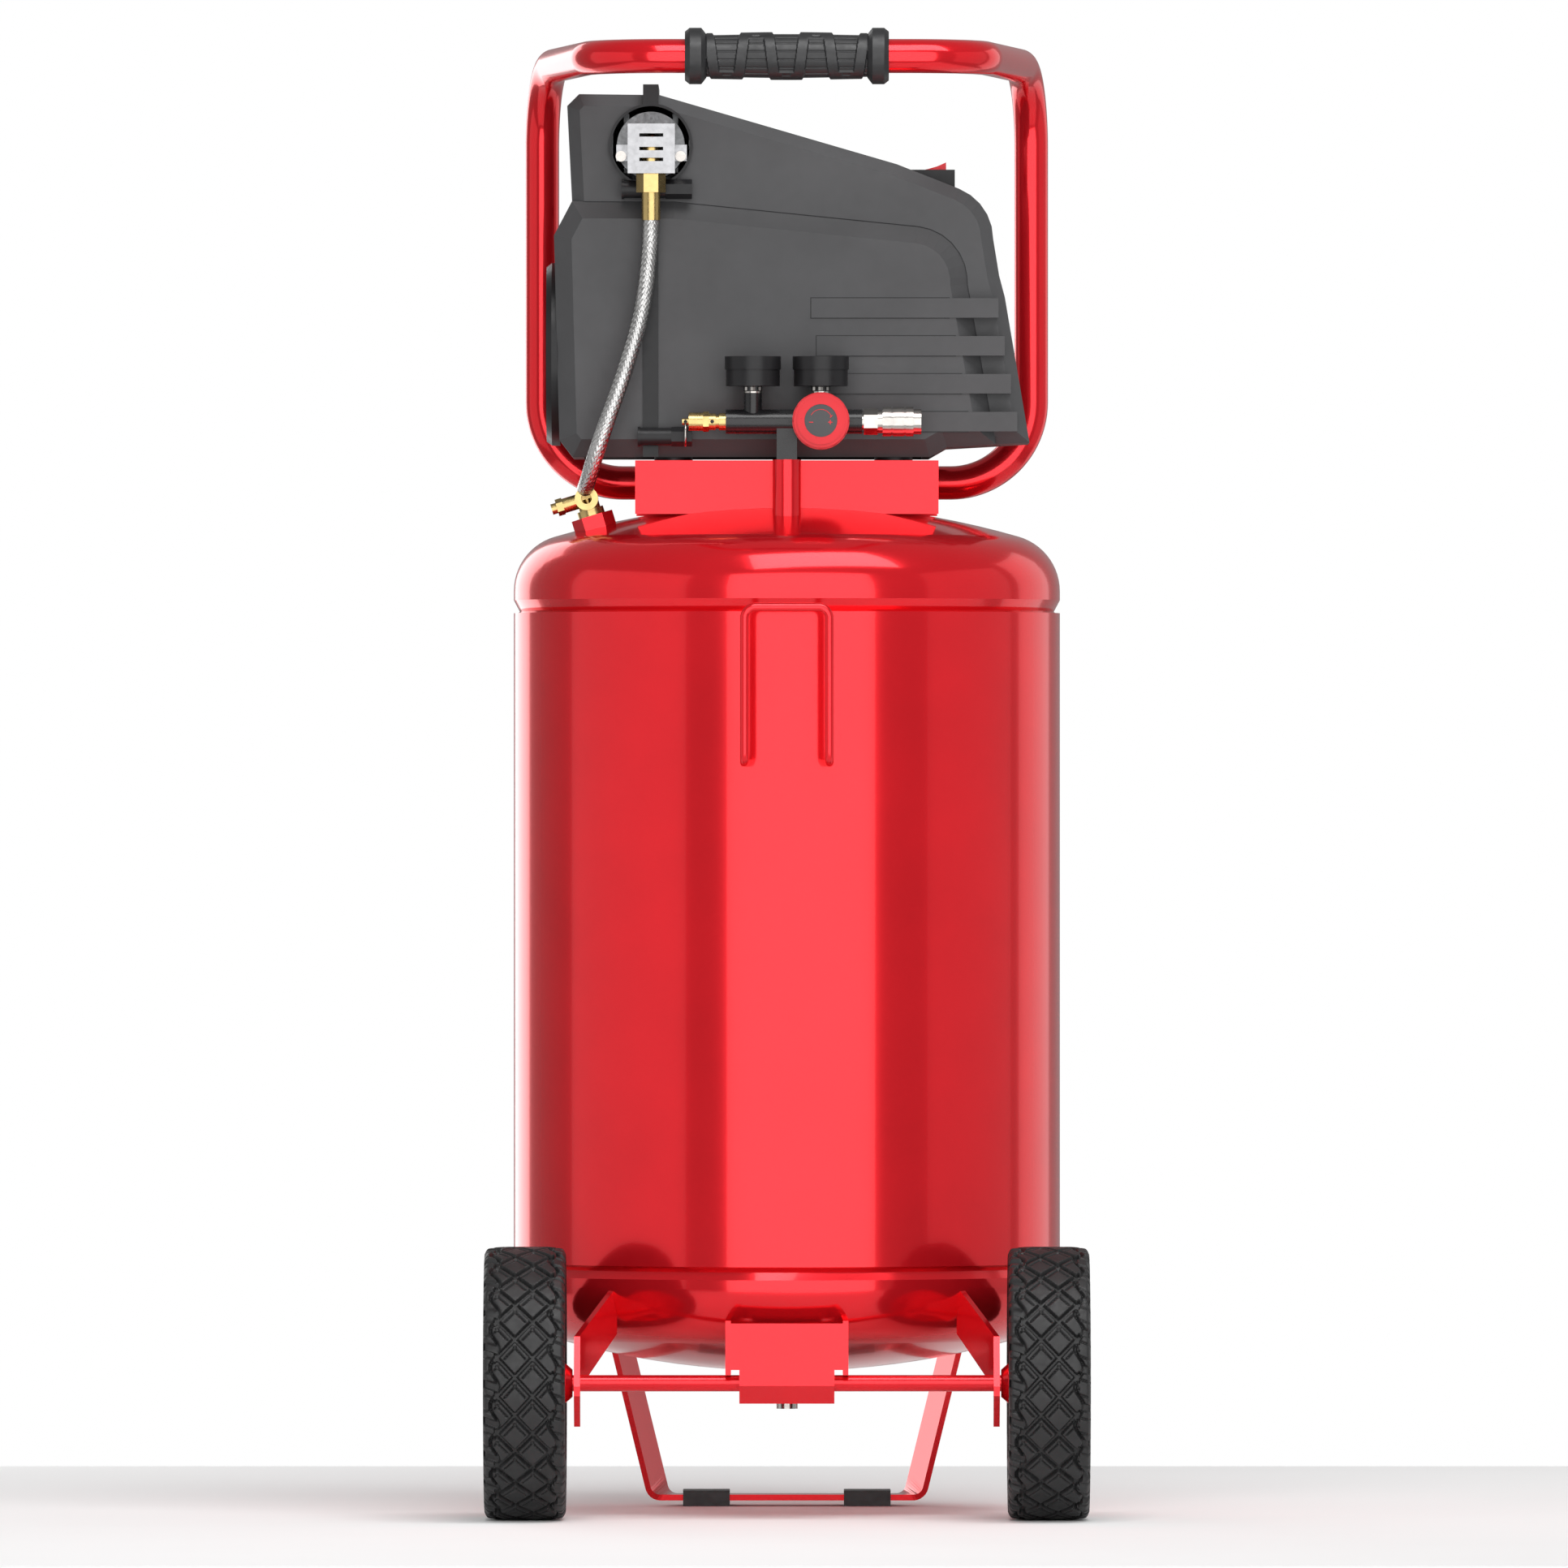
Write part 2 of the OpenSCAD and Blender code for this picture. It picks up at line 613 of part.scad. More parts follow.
module lead_gland() {
    color(black) on_tank() translate([110, 0, 806]) difference() {
        union() {
            bar_y(7.9, cover_y1 - 6, cover_y1 + 1);
            translate([0, cover_y1 + 1, 0]) rotate([-90, 0, 0]) cylinder(r1 = 11, r2 = 8, h = 14);
        }
        bar_y(4, cover_y1 - 10, cover_y1 + 20);
    }
}

// ---------------------------------------------------------------- motor and pump

shaft_r = 7;
stack_x0 = -45;
stack_x1 = 35;
rotor_r = 34;
feet_z = saddle_top + isolator_h;
module at_motor() { translate([0, 0, motor_z]) children(); }

module motor_stator() {
    slots = 12;
    color(cast_grey) on_tank() at_motor() difference() {
        bar_x(stator_r, stack_x0, stack_x1);
        bar_x(rotor_r + 0.5, stack_x0 - eps, stack_x1 + eps);
        for (i = [0:slots - 1]) rotate([i * 360 / slots, 0, 0])
            block(stack_x0 - eps, stack_x1 + eps, -3, 3, rotor_r + 4, stator_r - 8);
    }
}

// Cast end bells carry the shaft and stand on the isolators
module end_bell(x0, x1) {
    difference() {
        union() {
            at_motor() bar_x(stator_r + 2, x0, x1);
            block(x0, x1, -55, 55, feet_z, feet_z + 8);
            block(x0, x1, -30, 30, feet_z, motor_z - 40);
        }
        at_motor() bar_x(shaft_r + run_gap, x0 - eps, x1 + eps);
        at_motor() for (a = [30:60:330]) rotate([a, 0, 0]) translate([0, 0, 36]) bar_x(9, x0 - eps, x1 + eps);
    }
}
module end_bells() {
    color(cast_grey) on_tank() {
        end_bell(stack_x0 - 10, stack_x0);
        end_bell(stack_x1, stack_x1 + 10);
        for (y = [-42, 42]) {
            block(stack_x1 + 10, 92, y - 9, y + 9, feet_z, feet_z + 5);
        }
    }
}

crank_x0 = head_x - 24;
crank_x1 = head_x + 24;
crank_r = 40;
module crankcase() {
    color(cast_grey) on_tank() difference() {
        union() {
            at_motor() bar_x(crank_r + 5, crank_x0, stack_x0 - 10);
            translate([head_x, 0, motor_z]) cylinder(r = bore_r + 8, h = 50);
            block(crank_x0, crank_x1 + 6, -55, 55, feet_z, feet_z + 8);
            block(crank_x0, crank_x1, -30, 30, feet_z, motor_z - 30);
        }
        at_motor() bar_x(crank_r, crank_x0 + 6, crank_x1);
        at_motor() bar_x(shaft_r + run_gap, head_x - bore_r - 12, stack_x0);
        translate([head_x, 0, motor_z]) cylinder(r = bore_r + 3, h = 60);
        at_motor() bar_x(24, crank_x1 - eps, stack_x0 - 18);
    }
}

deck_z = 975;
module cylinder_sleeve() {
    color(cast_grey) on_tank() translate([head_x, 0, motor_z + 50]) difference() {
        union() {
            cylinder(r = bore_r + 3, h = deck_z - motor_z - 50);
            cylinder(r = bore_r + 8, h = 4);
            for (i = [0:4]) translate([0, 0, 12 + 9 * i]) cylinder(r = bore_r + 12, h = 2.5);
            translate([0, 0, deck_z - motor_z - 56]) cylinder(r = bore_r + 10, h = 6);
        }
        translate([0, 0, -eps]) cylinder(r = bore_r, h = deck_z);
    }
}

module cylinder_head() {
    boss_front = -64;
    color(cast_grey) on_tank() difference() {
        union() {
            translate([head_x, 0, deck_z]) cylinder(r = bore_r + 10, h = 16);
            translate([head_x, 0, opening_z]) bar_y(25, boss_front, 30);
            for (i = [0:5]) block(head_x - 32 + i * 12, head_x - 28 + i * 12, -40, 40, deck_z + 16, opening_z + 24);
        }
        translate([head_x, 0, opening_z]) bar_y(6, boss_front - eps, 0);
        translate([head_x, -10, deck_z - eps]) cylinder(r = 6, h = opening_z - deck_z);
        for (s = [-1, 1]) translate([head_x + s * 22, 0, opening_z - 8]) bar_y(1.8, boss_front - eps, boss_front + 12);
    }
}

elbow_y = -92;
head_face_y = -64;
module discharge_elbow() {
    color(brass) on_tank() translate([head_x + 0.3, 0, 0]) difference() {
        union() {
            translate([0, 0, opening_z]) bar_y(8, elbow_y, head_face_y);
            translate([0, elbow_y, opening_z]) sphere(r = 8);
            translate([0, elbow_y, 990]) cylinder(r = 8, h = opening_z - 990);
        }
        translate([0, 0, opening_z]) bar_y(3, elbow_y, head_face_y + eps);
        translate([0, elbow_y, 989]) cylinder(r = 3, h = opening_z - 989);
    }
}

// Bent sheet guard over the hot elbow, with three slots and a screwed tab on each side
guard_half_w = 17.4;
guard_low = 988.8;
guard_high = 1025.4;
guard_front = -106;
module heat_guard() {
    sheet = 1.2;
    tab_y = head_face_y - sheet;
    color(steel) on_tank() translate([head_x + 0.6, 0, 0]) difference() {
        union() {
            difference() {
                block(-guard_half_w, guard_half_w, guard_front, head_face_y, guard_low, guard_high);
                block(sheet - guard_half_w, guard_half_w - sheet, guard_front + sheet, head_face_y + eps,
                      guard_low - eps, guard_high - sheet);
            }
            block(-26, -guard_half_w + sheet, tab_y, head_face_y, 999, 1011);
            block(guard_half_w - sheet, 26, tab_y, head_face_y, 999, 1011);
        }
        for (z = [999, 1007, 1017]) block(-8.8, 8.8, guard_front - eps, guard_front + 4, z - 1.25, z + 1.25);
        for (s = [-1, 1]) translate([s * 22 - 0.6, 0, opening_z - 8]) bar_y(2, tab_y - eps, head_face_y + eps);
    }
}

module guard_screws() {
    color(steel) on_tank() for (s = [-1, 1]) translate([head_x + s * 22, 0, opening_z - 8]) difference() {
        union() {
            bar_y(1.8, head_face_y - 1.2, head_face_y + 8);
            bar_y(3.9, head_face_y - 4, head_face_y - 1.2);
        }
        block(-2.6, 2.6, head_face_y - 5, head_face_y - 3, -0.5, 0.5);
        block(-0.5, 0.5, head_face_y - 5, head_face_y - 3, -2.6, 2.6);
    }
}

nut_top = 989.4;
ferrule_top = 975;
hose_top = 954.6;
module hose_fittings() {
    color(brass) on_tank() translate([head_x + 0.3, elbow_y, 0]) difference() {
        union() {
            hex_z(18.7, ferrule_top, nut_top);
            translate([0, 0, hose_top]) cylinder(r = 6.9, h = ferrule_top - hose_top);
        }
        translate([0, 0, hose_top - eps]) cylinder(r = 3, h = 40);
    }
}

// ---------------------------------------------------------------- delivery hose and check valve

hose_r = 6;
// Route of the braided hose from the crimped ferrule down into the check valve's port
hose_route = [[-100.2, -92, 954.6], [-101.5, -94, 930], [-107, -99, 888], [-119, -104, 845], [-134, -106, 802],
              [-142, -101, 778], [-147, -88, 762], [-149, -70, 757]];

// Point on the smooth curve through the route, between knots i and i + 1
function knot(i) = hose_route[min(max(i, 0), len(hose_route) - 1)];
function on_route(t) = let (i = min(floor(t), len(hose_route) - 2), u = t - i,
        a = knot(i - 1), b = knot(i), c = knot(i + 1), d = knot(i + 2))
    b + (c - a) * u / 2 + (a * 2 - b * 5 + c * 4 - d) * u * u / 2 + (b * 3 - a - c * 3 + d) * u * u * u / 2;

module delivery_hose() {
    sides = 12;
    rings = 42;
    span = len(hose_route) - 1;
    pts = [for (k = [0:rings]) let (t = span * k / rings, c = on_route(t),
               ahead = unit(on_route(min(t + 0.05, span)) - on_route(max(t - 0.05, 0))),
               u = unit(cross(ahead, [0, 0.3, 1])), v = cross(ahead, u))
           for (i = [0:sides - 1]) c + hose_r * (cos(360 * i / sides) * u + sin(360 * i / sides) * v)];
    color(steel) on_tank() polyhedron(pts, concat([[for (i = [0:sides - 1]) i]],
        [for (k = [0:rings - 1]) for (i = [0:sides - 1]) [k * sides + i, (k + 1) * sides + i,
            (k + 1) * sides + (i + 1) % sides, k * sides + (i + 1) % sides]],
        [[for (i = [sides - 1:-1:0]) rings * sides + i]]), convexity = 8);
}

valve_h = 24;          // height of the port's axis above the bung's seat
port_y = -70;
module check_valve() {
    color(brass) on_tank() difference() {
        union() {
            at_bung() {
                translate([0, 0, 3]) cylinder(r = 8, h = bung_h - 3);
                translate([0, 0, bung_h]) cylinder(r = 10, h = 5);
                translate([0, 0, bung_h]) cylinder(r = 8, h = valve_h - bung_h);
                translate([0, 0, valve_h]) sphere(r = 8.6);
                translate([0, 0, valve_h]) bar_y(8.6, port_y - bung_y, 0);
                translate([0, 0, valve_h]) bar_x(5.5, -18, 0);
            }
        }
        at_bung() translate([0, 0, valve_h]) bar_y(4, port_y - bung_y - eps, 2);
        at_bung() translate([0, 0, 2]) cylinder(r = 4, h = valve_h - 2);
    }
}

module valve_plug() {
    color(brass) on_tank() at_bung() translate([0, 0, valve_h]) {
        hex_x(11, -23, -18);
        bar_x(4, -27, -23);
    }
}

// ---------------------------------------------------------------- manifold, gauges and regulator

line_z = 805.8;        // height of the manifold's axis
line_x0 = -45;
line_x1 = 55.5;
gauge_x = 25;
gauge_z0 = 832;
gauge_z1 = 853.8;
gauge_seat = 826.8;
gauge_bezel_h = 9.6;
gauge_bezel_r = 20.7;
module at_line() { translate([0, pipe_y, line_z]) children(); }

module manifold() {
    post_half = 7.5;
    color(black) on_tank() difference() {
        union() {
            at_line() bar_x(manifold_r, line_x0, line_x1);
            block(-post_half, post_half, pipe_y - post_half, pipe_y + post_half, saddle_top, line_z);
            translate([-gauge_x, pipe_y, line_z]) cylinder(r = 6.7, h = gauge_seat - line_z);
        }
        at_line() bar_x(4, line_x0 - eps, line_x1 + eps);
        translate([0, pipe_y, saddle_top - eps]) cylinder(r = 4, h = line_z - saddle_top);
        translate([-gauge_x, pipe_y, line_z]) cylinder(r = 2, h = 40);
        at_line() translate([gauge_x, 0, 0]) bar_y(18, -30, -1);
        at_line() translate([gauge_x, 0, 0]) bar_y(18, -1.01, 16);
    }
}

regulator_y0 = pipe_y - 18;
module regulator_body() {
    color(black) on_tank() difference() {
        union() {
            translate([gauge_x, 0, line_z]) {
                bar_y(18, regulator_y0, pipe_y + 16);
                bar_y(13, regulator_y0 - 6, regulator_y0);
                bar_y(3, regulator_y0 - 16, regulator_y0 - 6);
            }
            translate([gauge_x, pipe_y, line_z]) cylinder(r = 6.7, h = gauge_seat - line_z);
        }
        translate([gauge_x, pipe_y, line_z]) cylinder(r = 2, h = 40);
        at_line() bar_x(4, 0, 60);
    }
}

module gauge_pair() {
    for (x = [-gauge_x, gauge_x]) translate([x, pipe_y, 0]) children();
}
dial_z = gauge_z1 - 8;
module gauge_cases() {
    color(black) on_tank() gauge_pair() difference() {
        union() {
            translate([0, 0, gauge_z0]) cylinder(r = gauge_r, h = gauge_z1 - gauge_z0);
            translate([0, 0, gauge_z1 - gauge_bezel_h]) cylinder(r = gauge_bezel_r, h = gauge_bezel_h);
            hex_z(11.6, gauge_seat, gauge_z0 + 1);
        }
        translate([0, 0, dial_z - 1]) cylinder(r = gauge_r - 1.2, h = 20);
        translate([0, 0, gauge_seat - eps]) cylinder(r = 2, h = 4);
    }
}

module gauge_dials() {
    color("white") on_tank() gauge_pair() translate([0, 0, dial_z - 1]) difference() {
        cylinder(r = gauge_r - 1.3, h = 1);
        translate([0, 0, -eps]) cylinder(r = 1 + run_gap, h = 3);
    }
}

module gauge_lenses() {
    color([0.9, 0.95, 1, 0.35]) on_tank() gauge_pair() translate([0, 0, gauge_z1 - 2.5])
        cylinder(r = gauge_r - 1.25, h = 1.8);
}

// Needle pointing to the dial's zero mark, lower left as read from the front
needle_rest = -135;
module needle() {
    translate([0, 0, dial_z + 1]) {
        cylinder(r = 2.2, h = 1.2);
        rotate([0, 0, needle_rest]) block(-5, 14.5, -0.6, 0.6, 0, 0.7);
        translate([0, 0, -1.9]) cylinder(r = 1, h = 2);
    }
}
module tank_needle() { color(black) on_tank() translate([-gauge_x, pipe_y, 0]) needle(); }
module outlet_needle() { color(black) on_tank() translate([gauge_x, pipe_y, 0]) needle(); }

knob_front = regulator_y0 - 31;
module regulator_knob() {
    notches = 12;
    color(red) on_tank() translate([gauge_x, 0, line_z]) difference() {
        union() {
            bar_y(knob_r - 1.5, knob_front + 4, regulator_y0 - 0.5);
            bar_y(knob_r, knob_front + 7, regulator_y0 - 4);
            bar_y(knob_r - 1.2, knob_front + 1, knob_front + 7);
            bar_y(knob_r - 3.5, knob_front, knob_front + 1);
        }
        bar_y(13.5, regulator_y0 - 7, regulator_y0 + eps);
        bar_y(3 + run_gap, regulator_y0 - 16.5, regulator_y0 - 6);
        bar_y(12.1, knob_front - eps, knob_front + 1.6);
        for (i = [0:notches - 1]) rotate([0, i * 360 / notches, 0])
            translate([knob_r + 0.6, 0, 0]) bar_y(1.6, knob_front - eps, knob_front + 14);
    }
}

module knob_cap() {
    color(dark_grey) on_tank() translate([gauge_x, 0, line_z]) bar_y(12, knob_front + 0.2, knob_front + 1.6);
}

valve_face = -72.3;    // outer end of the relief valve's body
module relief_body() {
    color(brass) on_tank() at_line() difference() {
        union() {
            bar_x(5.2, -54.3, line_x0);
            bar_x(6.4, -50, line_x0);
            bar_x(6.2, -57.5, -52.5);
            hex_x(12.9, -61.7, -57.5);
            bar_x(6.75, valve_face, -61.7);
        }
        bar_x(2.6, valve_face - eps, -56);
        bar_x(2, -58, line_x0 + eps);
        for (a = [0, 90]) rotate([a, 0, 0]) translate([-55, 0, 0]) cylinder(r = 1.4, h = 20, center = true);
    }
}

ring_r = 8.8;
ring_wire = 0.8;
ring_x = -74.7;
ring_hole = 1.4;
module relief_stem() {
    color(brass) on_tank() at_line() difference() {
        union() {
            bar_x(2.6 - run_gap, valve_face + 0.1, -60);
            bar_x(2.5, -77.1, valve_face + 0.1);
        }
        translate([ring_x, 0, 0]) bar_y(ring_hole, -4, 4);
    }
}

module pull_ring() {
    color(nickel) on_tank() at_line() translate([ring_x, 0, -ring_r]) rotate([0, 90, 0])
        rotate_extrude() translate([ring_r, 0]) circle(ring_wire, $fn = 24);
}

sleeve_x0 = 70.5;
sleeve_x1 = 93.3;
coupler_end = 99;
socket_len = 24;
sleeve_bore = 8.6;
module coupler_body() {
    color(nickel) on_tank() at_line() difference() {
        union() {
            hex_x(16.9, 56.7, 66.9);
            bar_x(6, line_x1, 56.7);
            bar_x(sleeve_bore - run_gap, 66.9, sleeve_x1);
            bar_x(9.4, sleeve_x1, coupler_end);
        }
        bar_x(socket_r, coupler_end - socket_len, coupler_end + eps);
        bar_x(3.5, line_x1 - eps, coupler_end);
        cone_x(socket_r, socket_r + 1, coupler_end - 1, coupler_end + 0.01);
    }
}

module coupler_sleeve() {
    groove = 0.7;
    r = 10.95;
    color(nickel) on_tank() at_line() difference() {
        bar_x(r, sleeve_x0, sleeve_x1 - 0.05);
        bar_x(sleeve_bore, sleeve_x0 - eps, sleeve_x1 + eps);
        for (x = [77.5, 87]) difference() {
            bar_x(r + 1, x - 0.6, x + 0.6);
            bar_x(r - groove, x - 1, x + 1);
        }
    }
}

// ---------------------------------------------------------------- electrics

switch_x = 106;
switch_top = 994;
switch_half_l = 18.5;
rocker_z = 988;
module pressure_switch() {
    color(black) on_tank() difference() {
        union() {
            block(switch_x - switch_half_l, switch_x + switch_half_l, -15, 15, 960, switch_top);
            block(switch_x - 16, switch_x + 16, -24, 24, 900, 960);
        }
        block(switch_x - 16, switch_x + 16.4, -11, 11, 975, switch_top + eps);
        translate([switch_x, 0, rocker_z]) bar_y(2, -13, 13);
    }
}

rocker_tilt = 11;
module rocker() {
    color(red) on_tank() translate([switch_x, 0, rocker_z]) {
        rotate([0, -rocker_tilt, 0]) rotate([90, 0, 0]) translate([0, 0, -10.5]) linear_extrude(21)
            polygon(concat([[-13, 1], [-9, -6], [9, -6], [12.5, 1], [14, 9]], [[7, 7.4], [0, 6.8], [-7, 6.6], [-13, 7]]));
        bar_y(2 - run_gap, -12.9, 12.9);
    }
}

module capacitor() {
    color(black) on_tank() translate([20, 34, 0]) {
        translate([0, 0, 935]) bar_x(18, -35, 35);
        block(-8, 8, -18, -8, 915, 935);
    }
}

// ---------------------------------------------------------------- rotating parts

module rotor() {
    bars = 16;
    color(steel) on_tank() at_motor() difference() {
        union() {
            bar_x(rotor_r, stack_x0 + 6, stack_x1 - 6);
            bar_x(rotor_r - 4, stack_x0 + 1, stack_x1 - 1);
        }
        bar_x(shaft_r, stack_x0 - 10, stack_x1 + 10);
        for (i = [0:bars - 1]) rotate([i * 360 / bars, 0, 0]) translate([0, 0, rotor_r - 7])
            bar_x(1.6, stack_x0 - 10, stack_x1 + 10);
    }
}

pin_r = 9;
rod_half_w = 6;
module crankshaft() {
    color(steel) on_tank() at_motor() {
        bar_x(shaft_r, -150, stack_x1 + 14);
        difference() {
            bar_x(21, head_x + rod_half_w + 0.5, head_x + 18);
            translate([0, 0, -22]) bar_x(9, head_x - 30, head_x + 30);
        }
        translate([0, 0, throw]) bar_x(shaft_r + throw + 1.5, head_x - rod_half_w - 2, head_x + rod_half_w + 0.5);
    }
}

big_end_r = 17;
piston_r = bore_r - throw - 0.6;
piston_top = 958;
module connecting_rod() {
    color(steel) on_tank() translate([head_x, 0, 0]) difference() {
        union() {
            translate([0, 0, motor_z + throw]) bar_x(big_end_r + 6.5, -rod_half_w, rod_half_w);
            block(-rod_half_w, rod_half_w, -9, 9, motor_z + throw + 18, piston_top - 6);
            translate([0, 0, piston_top - 9]) cylinder(r = piston_r - 1.5, h = 9);
            translate([0, 0, piston_top - 5]) cylinder(r = piston_r, h = 2.5);
        }
        translate([0, 0, motor_z + throw]) bar_x(shaft_r + throw + 1.5 + run_gap, -20, 20);
    }
}

fan_r = 54;
module cooling_fan() {
    blades = 9;
    fan_x0 = -164;
    fan_x1 = -146;
    color(dark_grey) on_tank() at_motor() difference() {
        union() {
            bar_x(16, fan_x0, fan_x1);
            for (i = [0:blades - 1]) rotate([i * 360 / blades, 0, 0])
                translate([(fan_x0 + fan_x1) / 2, 0, 12]) rotate([0, 0, 40])
                    block(-1.2, 1.2, -12, 12, 0, fan_r - 14);
        }
        bar_x(shaft_r, fan_x0 + 6, fan_x1 + eps);
    }
}

tank_shell();
tank_top_head();
tank_bottom_head();
hose_hook();
saddle_bracket();
valve_bung();
riser_pipe();
handle_frame();
handle_grip();
axle_brackets();
centre_bracket();
axle();
foot_strap();
foot_pads();
drain_body();
upper_shroud();
lower_shroud();
joint_band();
clamp_lugs();
fan_guard();
isolators();
lead_gland();
motor_stator();
end_bells();
crankcase();
cylinder_sleeve();
cylinder_head();
discharge_elbow();
heat_guard();
guard_screws();
hose_fittings();
delivery_hose();
check_valve();
valve_plug();
manifold();
gauge_cases();
gauge_dials();
gauge_lenses();
regulator_body();
relief_body();
coupler_body();
pressure_switch();
capacitor();
tank_needle();
outlet_needle();
regulator_knob();
knob_cap();
relief_stem();
pull_ring();
coupler_sleeve();
rocker();
drain_knob();
left_tyre();
right_tyre();
left_rim();
right_rim();
rotor();
crankshaft();
cooling_fan();
connecting_rod();
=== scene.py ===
# Upright portable air compressor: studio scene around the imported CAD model.
# Metres, +Z up, wheels and gauges towards -Y. Places come from the CAD nodes' boxes.
import json
import math

import bpy
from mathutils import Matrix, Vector

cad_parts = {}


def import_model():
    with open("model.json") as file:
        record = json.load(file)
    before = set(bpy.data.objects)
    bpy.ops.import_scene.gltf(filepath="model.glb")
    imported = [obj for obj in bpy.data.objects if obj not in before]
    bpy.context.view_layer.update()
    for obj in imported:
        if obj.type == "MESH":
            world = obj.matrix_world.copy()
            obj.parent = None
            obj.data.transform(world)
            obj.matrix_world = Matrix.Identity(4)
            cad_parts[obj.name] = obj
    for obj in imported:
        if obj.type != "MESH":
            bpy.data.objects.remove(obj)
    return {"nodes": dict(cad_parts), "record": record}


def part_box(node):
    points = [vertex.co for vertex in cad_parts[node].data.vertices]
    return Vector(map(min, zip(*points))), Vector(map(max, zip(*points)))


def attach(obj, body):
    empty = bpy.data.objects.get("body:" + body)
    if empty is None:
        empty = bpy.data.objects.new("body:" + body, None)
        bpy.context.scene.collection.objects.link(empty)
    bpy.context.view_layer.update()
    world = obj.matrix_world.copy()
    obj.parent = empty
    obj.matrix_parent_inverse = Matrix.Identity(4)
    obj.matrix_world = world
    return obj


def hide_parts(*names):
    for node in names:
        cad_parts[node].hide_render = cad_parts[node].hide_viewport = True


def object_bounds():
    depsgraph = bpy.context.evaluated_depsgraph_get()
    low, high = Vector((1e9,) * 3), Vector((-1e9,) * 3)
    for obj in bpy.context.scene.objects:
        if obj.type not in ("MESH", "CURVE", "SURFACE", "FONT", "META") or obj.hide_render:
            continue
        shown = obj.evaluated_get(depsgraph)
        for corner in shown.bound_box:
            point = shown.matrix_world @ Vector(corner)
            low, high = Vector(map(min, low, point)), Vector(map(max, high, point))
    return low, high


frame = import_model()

MM = 0.001
NODES = frame["nodes"]
CAD_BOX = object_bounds()


# ---------------------------------------------------------------- materials

class Graph:
    """Small helper round a material's node tree."""

    def __init__(self, name, color, rough, metal=0.0, coat=0.0, coat_rough=0.05, specular=0.5):
        self.mat = bpy.data.materials.new(name)
        self.mat.use_nodes = True
        self.nodes = self.mat.node_tree.nodes
        self.links = self.mat.node_tree.links
        self.bsdf = self.nodes["Principled BSDF"]
        self.bsdf.inputs["Base Color"].default_value = (*color, 1)
        self.bsdf.inputs["Roughness"].default_value = rough
        self.bsdf.inputs["Metallic"].default_value = metal
        self.bsdf.inputs["Coat Weight"].default_value = coat
        self.bsdf.inputs["Coat Roughness"].default_value = coat_rough
        self.bsdf.inputs["Specular IOR Level"].default_value = specular
        self.coords = self.nodes.new("ShaderNodeTexCoord").outputs["Object"]
        self.height = None

    def noise(self, size, detail=3.0, stretch=(1, 1, 1)):
        """Noise value whose features are about size metres across."""
        mapping = self.nodes.new("ShaderNodeMapping")
        mapping.inputs["Scale"].default_value = [s / size for s in stretch]
        self.links.new(self.coords, mapping.inputs["Vector"])
        noise = self.nodes.new("ShaderNodeTexNoise")
        noise.inputs["Scale"].default_value = 1.0
        noise.inputs["Detail"].default_value = detail
        self.links.new(mapping.outputs["Vector"], noise.inputs["Vector"])
        return noise.outputs["Fac"]

    def ramp(self, value, low, high):
        """Blend of two colours by a value."""
        ramp = self.nodes.new("ShaderNodeValToRGB")
        ramp.color_ramp.elements[0].position = 0.3
        ramp.color_ramp.elements[1].position = 0.7
        ramp.color_ramp.elements[0].color = (*low, 1)
        ramp.color_ramp.elements[1].color = (*high, 1)
        self.links.new(value, ramp.inputs["Fac"])
        return ramp.outputs["Color"]

    def color_from(self, value, low, high):
        self.links.new(self.ramp(value, low, high), self.bsdf.inputs["Base Color"])

    def rough_from(self, value, low, high):
        grey = self.ramp(value, (low,) * 3, (high,) * 3)
        self.links.new(grey, self.bsdf.inputs["Roughness"])

    def bump(self, value, depth, strength=1.0):
        bump = self.nodes.new("ShaderNodeBump")
        bump.inputs["Distance"].default_value = depth
        bump.inputs["Strength"].default_value = strength
        self.links.new(value, bump.inputs["Height"])
        if self.height:
            self.links.new(self.height, bump.inputs["Normal"])
        self.height = bump.outputs["Normal"]
        self.links.new(self.height, self.bsdf.inputs["Normal"])


def scaled(color, factor):
    return tuple(min(1.0, c * factor) for c in color)


def enamel(name, color):
    """Candy-red enamel: tinted reflections under a thin clear gloss, with slight orange peel."""
    g = Graph(name, color, 0.16, metal=0.62, coat=0.35, coat_rough=0.04, specular=0.3)
    g.color_from(g.noise(60 * MM), scaled(color, 0.96), scaled(color, 1.04))
    g.bump(g.noise(2.2 * MM, 1.0), 0.02 * MM, 0.25)
    return g.mat


def moulded(name, color, rough, grain=0.5 * MM, depth=0.03 * MM, coat=0.0):
    """Moulded plastic with a fine spark-eroded grain."""
    g = Graph(name, color, rough, coat=coat, coat_rough=0.12, specular=0.25)
    g.color_from(g.noise(40 * MM), scaled(color, 0.93), scaled(color, 1.07))
    g.rough_from(g.noise(6 * MM), rough - 0.04, rough + 0.06)
    g.bump(g.noise(grain, 2.0), depth, 0.35)
    return g.mat


def rubber(name, color, rough):
    g = Graph(name, color, rough, specular=0.45)
    g.color_from(g.noise(14 * MM, 5.0), scaled(color, 0.8), scaled(color, 1.3))
    g.rough_from(g.noise(5 * MM), rough - 0.07, rough + 0.1)
    g.bump(g.noise(0.8 * MM, 3.0), 0.05 * MM, 0.4)
    return g.mat


